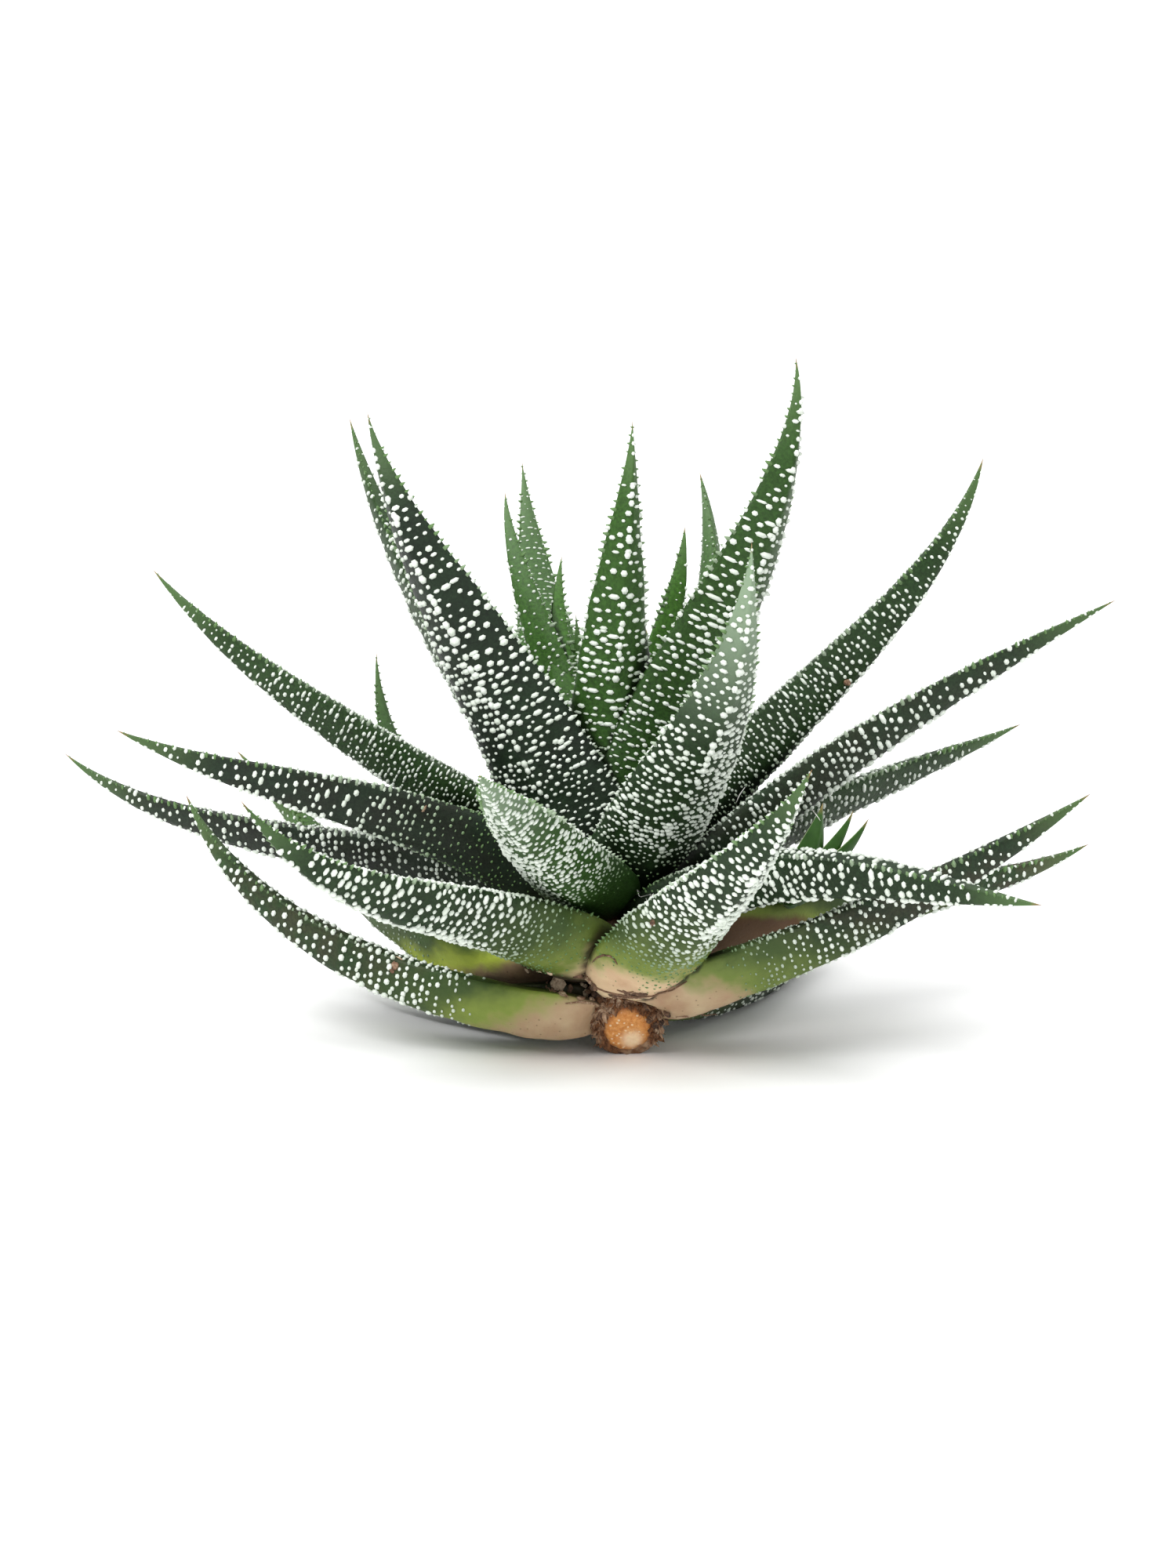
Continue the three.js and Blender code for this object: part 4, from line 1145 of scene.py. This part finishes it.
def seen_at(x, y):
    """The plant's surface at a pixel of the photo: its place and the way that it faces."""
    spread = SENSOR / LENS / PHOTO_HEIGHT
    across, up = (x - PHOTO_WIDTH / 2) * spread, (PHOTO_HEIGHT / 2 - y) * spread
    look = Matrix.Rotation(math.pi / 2 - VIEW_DOWN, 3, "X") @ Vector((across, up, -1)).normalized()
    place, facing, _, _ = bare_plant.ray_cast(VIEW_FROM, look)
    return place, facing


def joined(name, parts, material):
    """One piece of many small closed parts, each a list of corners, its faces and its tone."""
    corners, faces, tones = [], [], []
    for part_corners, part_faces, tone in parts:
        first = len(corners)
        corners += [Vector((c.x, c.y, max(c.z, 0.0))) for c in part_corners]
        faces += [tuple(first + i for i in face) for face in part_faces]
        tones += [tone] * len(part_corners)
    piece = solid_mesh(name, corners, faces, material)
    store(piece, "tone", tones)
    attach(piece, "root")
    return piece


# How much a flake swells and how ragged it is, as shares of its size, how rumpled it is, in mm, how
# strongly it may curl, up or down, and how far its noise may be shifted, so that no two are alike.
FLAKE_RINGS = 5
FLAKE_AROUND = 9
SWELL = 0.6
RAGGED = 0.35
RUMPLED = 0.25
MOST_CURL = 0.5
SHIFTED = 90


def flakes(spots, seed):
    """Crumpled closed flakes that lie on the plant where the photo shows them."""
    chance = random.Random(seed)
    made = []
    for x, y, length, width, thick, tone in spots:
        place, facing = seen_at(x, y)
        if place is None:
            continue
        turn = Matrix.Rotation(chance.uniform(0, 2 * math.pi), 3, "Z")
        stand = facing.to_track_quat("Z", "Y").to_matrix() @ turn
        curl = chance.uniform(-MOST_CURL, MOST_CURL)
        shift = Vector((chance.uniform(0, SHIFTED), 0, 0))
        corners = [Vector((0, 0, 1))]
        for ring in range(FLAKE_RINGS):
            down = math.pi * (ring + 1) / (FLAKE_RINGS + 1)
            flat = math.sin(down)
            for spot in range(FLAKE_AROUND):
                angle = 2 * math.pi * spot / FLAKE_AROUND
                corners.append(Vector((flat * math.cos(angle), flat * math.sin(angle),
                                       math.cos(down))))
        corners.append(Vector((0, 0, -1)))
        shaped = []
        for corner in corners:
            swell = SWELL * noise.noise(corner * 1.3 + shift)
            ragged = RAGGED * noise.noise(corner * 3 + shift)
            bent = Vector((corner.x * length / 2, corner.y * width / 2, corner.z * thick / 2))
            bent *= 1 + swell + ragged
            bent.z += curl * (bent.x ** 2) / length + RUMPLED * noise.noise(bent * 2 + shift)
            shaped.append(place + stand @ (bent * MM))
        made.append((shaped, turned_out(net_faces(FLAKE_RINGS, FLAKE_AROUND)), tone))
    return made


# A thread is drawn in so many steps from one pixel to the next, with so many corners round it, and
# it is this share of its thickness at its ends.
THREAD_STEPS = 6
THREAD_AROUND = 6
THREAD_END = 0.35


def strands(paths, radius, tone, lifted=HALF_SUNK):
    """Thin closed threads that run over the plant through the photo's pixels."""
    made = []
    for path in paths:
        hits = [place for place, _ in (seen_at(x, y) for x, y in path) if place is not None]
        points = []
        for a, b in zip(hits, hits[1:]):
            for step in range(THREAD_STEPS):
                near, facing, _, _ = bare_plant.find_nearest(a.lerp(b, step / THREAD_STEPS))
                points.append(near + facing * radius * lifted * MM)
        if len(points) < 3:
            continue
        corners = [points[0]]
        for i, point in enumerate(points):
            along = (points[min(i + 1, len(points) - 1)] - points[max(i - 1, 0)]).normalized()
            side = along.orthogonal().normalized()
            up = along.cross(side)
            share = i / (len(points) - 1)
            fuller = math.sin(math.pi * (0.1 + 0.8 * share))
            thick = radius * MM * (THREAD_END + (1 - THREAD_END) * fuller)
            for spot in range(THREAD_AROUND):
                angle = 2 * math.pi * spot / THREAD_AROUND
                corners.append(point + thick * (side * math.cos(angle) + up * math.sin(angle)))
        corners.append(points[-1])
        made.append((corners, net_faces(len(points), THREAD_AROUND), tone))
    return made


# Dead leaf skin is papery and matt, from near black where it has rotted to a pale straw.
dry_skin, tree = new_material("dry_papery_leaf_skin")
CRUMPLE = 0.5
CRUMPLE_RELIEF = 0.2
UNEVEN_TONE = 0.3
place = add(tree, "ShaderNodeTexCoord").outputs["Object"]
tone = add(tree, "ShaderNodeAttribute", attribute_name="tone").outputs["Fac"]
crumple = add(tree, "ShaderNodeTexNoise",
              {"Vector": place, "Scale": 1 / (CRUMPLE * MM), "Detail": 4.0, "Roughness": 0.7})
uneven = add(tree, "ShaderNodeMapRange",
             {"Value": crumple, "From Min": 0.3, "From Max": 0.7, "To Min": -UNEVEN_TONE,
              "To Max": UNEVEN_TONE})
tone_here = add(tree, "ShaderNodeMath", {0: tone, 1: uneven}, operation="ADD")
tones = add(tree, "ShaderNodeValToRGB", {"Fac": tone_here})
tones.color_ramp.elements[0].color = linear(SCRAP_DARK)
tones.color_ramp.elements[1].color = linear(SCRAP_PALE)
tones.color_ramp.elements.new(0.5).color = linear(SCRAP_BROWN)
bump = add(tree, "ShaderNodeBump",
           {"Height": crumple, "Strength": 0.8, "Distance": CRUMPLE_RELIEF * MM})
papery = add(tree, "ShaderNodeBsdfPrincipled",
             {"Base Color": tones, "Normal": bump, "Roughness": 0.8, "IOR": 1.45})
add(tree, "ShaderNodeOutputMaterial", {"Surface": papery})

# Lint is a short white cotton fibre, matt, and drawn thicker than it is, so that it shows.
cotton, tree = new_material("white_cotton_lint")
fibre = add(tree, "ShaderNodeBsdfPrincipled",
            {"Base Color": linear(LINT_WHITE), "Roughness": 0.7, "IOR": 1.5})
add(tree, "ShaderNodeOutputMaterial", {"Surface": fibre})

joined("scraps_at_the_cut", flakes(SCRAPS_AT_THE_CUT, 1), dry_skin)
joined("scraps_in_the_hollow", flakes(SCRAPS_IN_THE_HOLLOW, 2), dry_skin)
joined("torn_skin", flakes(TORN_SKIN, 3), dry_skin)
joined("crumbs_of_soil", flakes(CRUMBS, 4), dry_skin)
joined("healed_tears", strands(HEALED_TEARS_AND_SHADE_LINE, TEAR_AND_SHADE_LINE_RADIUS, TEAR_AND_SHADE_LINE_TONE), dry_skin)
joined("dry_strands", strands(DRY_STRANDS, STRAND_RADIUS, STRAND_TONE), dry_skin)
joined("lint", strands(LINT, LINT_RADIUS, LINT_TONE, LINT_LIFTED), cotton)

# The ground: a plain sheet of white paper, matt and flat, which runs out past the view on all
# sides. Its half width is in metres.

FLOOR_HALF = 3.0
FLOOR_CORNERS = [(-FLOOR_HALF, -FLOOR_HALF, 0), (FLOOR_HALF, -FLOOR_HALF, 0),
                 (FLOOR_HALF, FLOOR_HALF, 0), (-FLOOR_HALF, FLOOR_HALF, 0)]
PAPER_WHITE = "fbfbfb"
paper, tree = new_material("white_paper")
sheet = add(tree, "ShaderNodeBsdfPrincipled", {"Base Color": linear(PAPER_WHITE), "Roughness": 0.9})
add(tree, "ShaderNodeOutputMaterial", {"Surface": sheet})
floor = solid_mesh("floor", FLOOR_CORNERS, [(0, 1, 2, 3)], paper)
floor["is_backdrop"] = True

# The light: a pale room, a wide soft ceiling that whitens the sheet, and two softboxes in front,
# turned to the plant.

ROOM_LIGHT = 0.42
world = bpy.data.worlds.new("white_room")
world.use_nodes = True
background = world.node_tree.nodes["Background"]
background.inputs["Color"].default_value = (1, 1, 1, 1)
background.inputs["Strength"].default_value = ROOM_LIGHT
bpy.context.scene.world = world
bpy.context.scene.view_settings.view_transform = "Standard"

# name: place in metres, side in metres, power in watts
SOFTBOXES = {
    "softbox_ceiling": ((0.0, 0.7, 1.6), 3.5, 58.0),
    "softbox_left": ((-0.5, -0.55, 0.75), 0.5, 7.0),
    "softbox_front": ((0.35, -0.9, 0.3), 0.5, 1.6),
}
LIT_SPOT = Vector((0, 0.01, 0.03))
for name, (spot, side, power) in SOFTBOXES.items():
    lamp = bpy.data.lights.new(name, "AREA")
    lamp.size = side
    lamp.energy = power
    light = bpy.data.objects.new(name, lamp)
    light.location = spot
    if name != "softbox_ceiling":
        light.rotation_euler = (LIT_SPOT - Vector(spot)).to_track_quat("-Z", "Y").to_euler()
    bpy.context.scene.collection.objects.link(light)

# The camera stands 600 mm from the cut stem, in front of it and 12 degrees above level, with a
# long lens that hardly enlarges the leaves that point at it.

lens = bpy.data.cameras.new("camera")
lens.lens = LENS
lens.sensor_width = SENSOR
camera = bpy.data.objects.new("camera", lens)
camera.location = VIEW_FROM
camera.rotation_euler = (math.pi / 2 - VIEW_DOWN, 0, 0)
bpy.context.scene.collection.objects.link(camera)
bpy.context.scene.camera = camera

sizes = {"cad": [list(corner) for corner in cad_box], "visual": [list(corner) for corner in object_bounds()]}
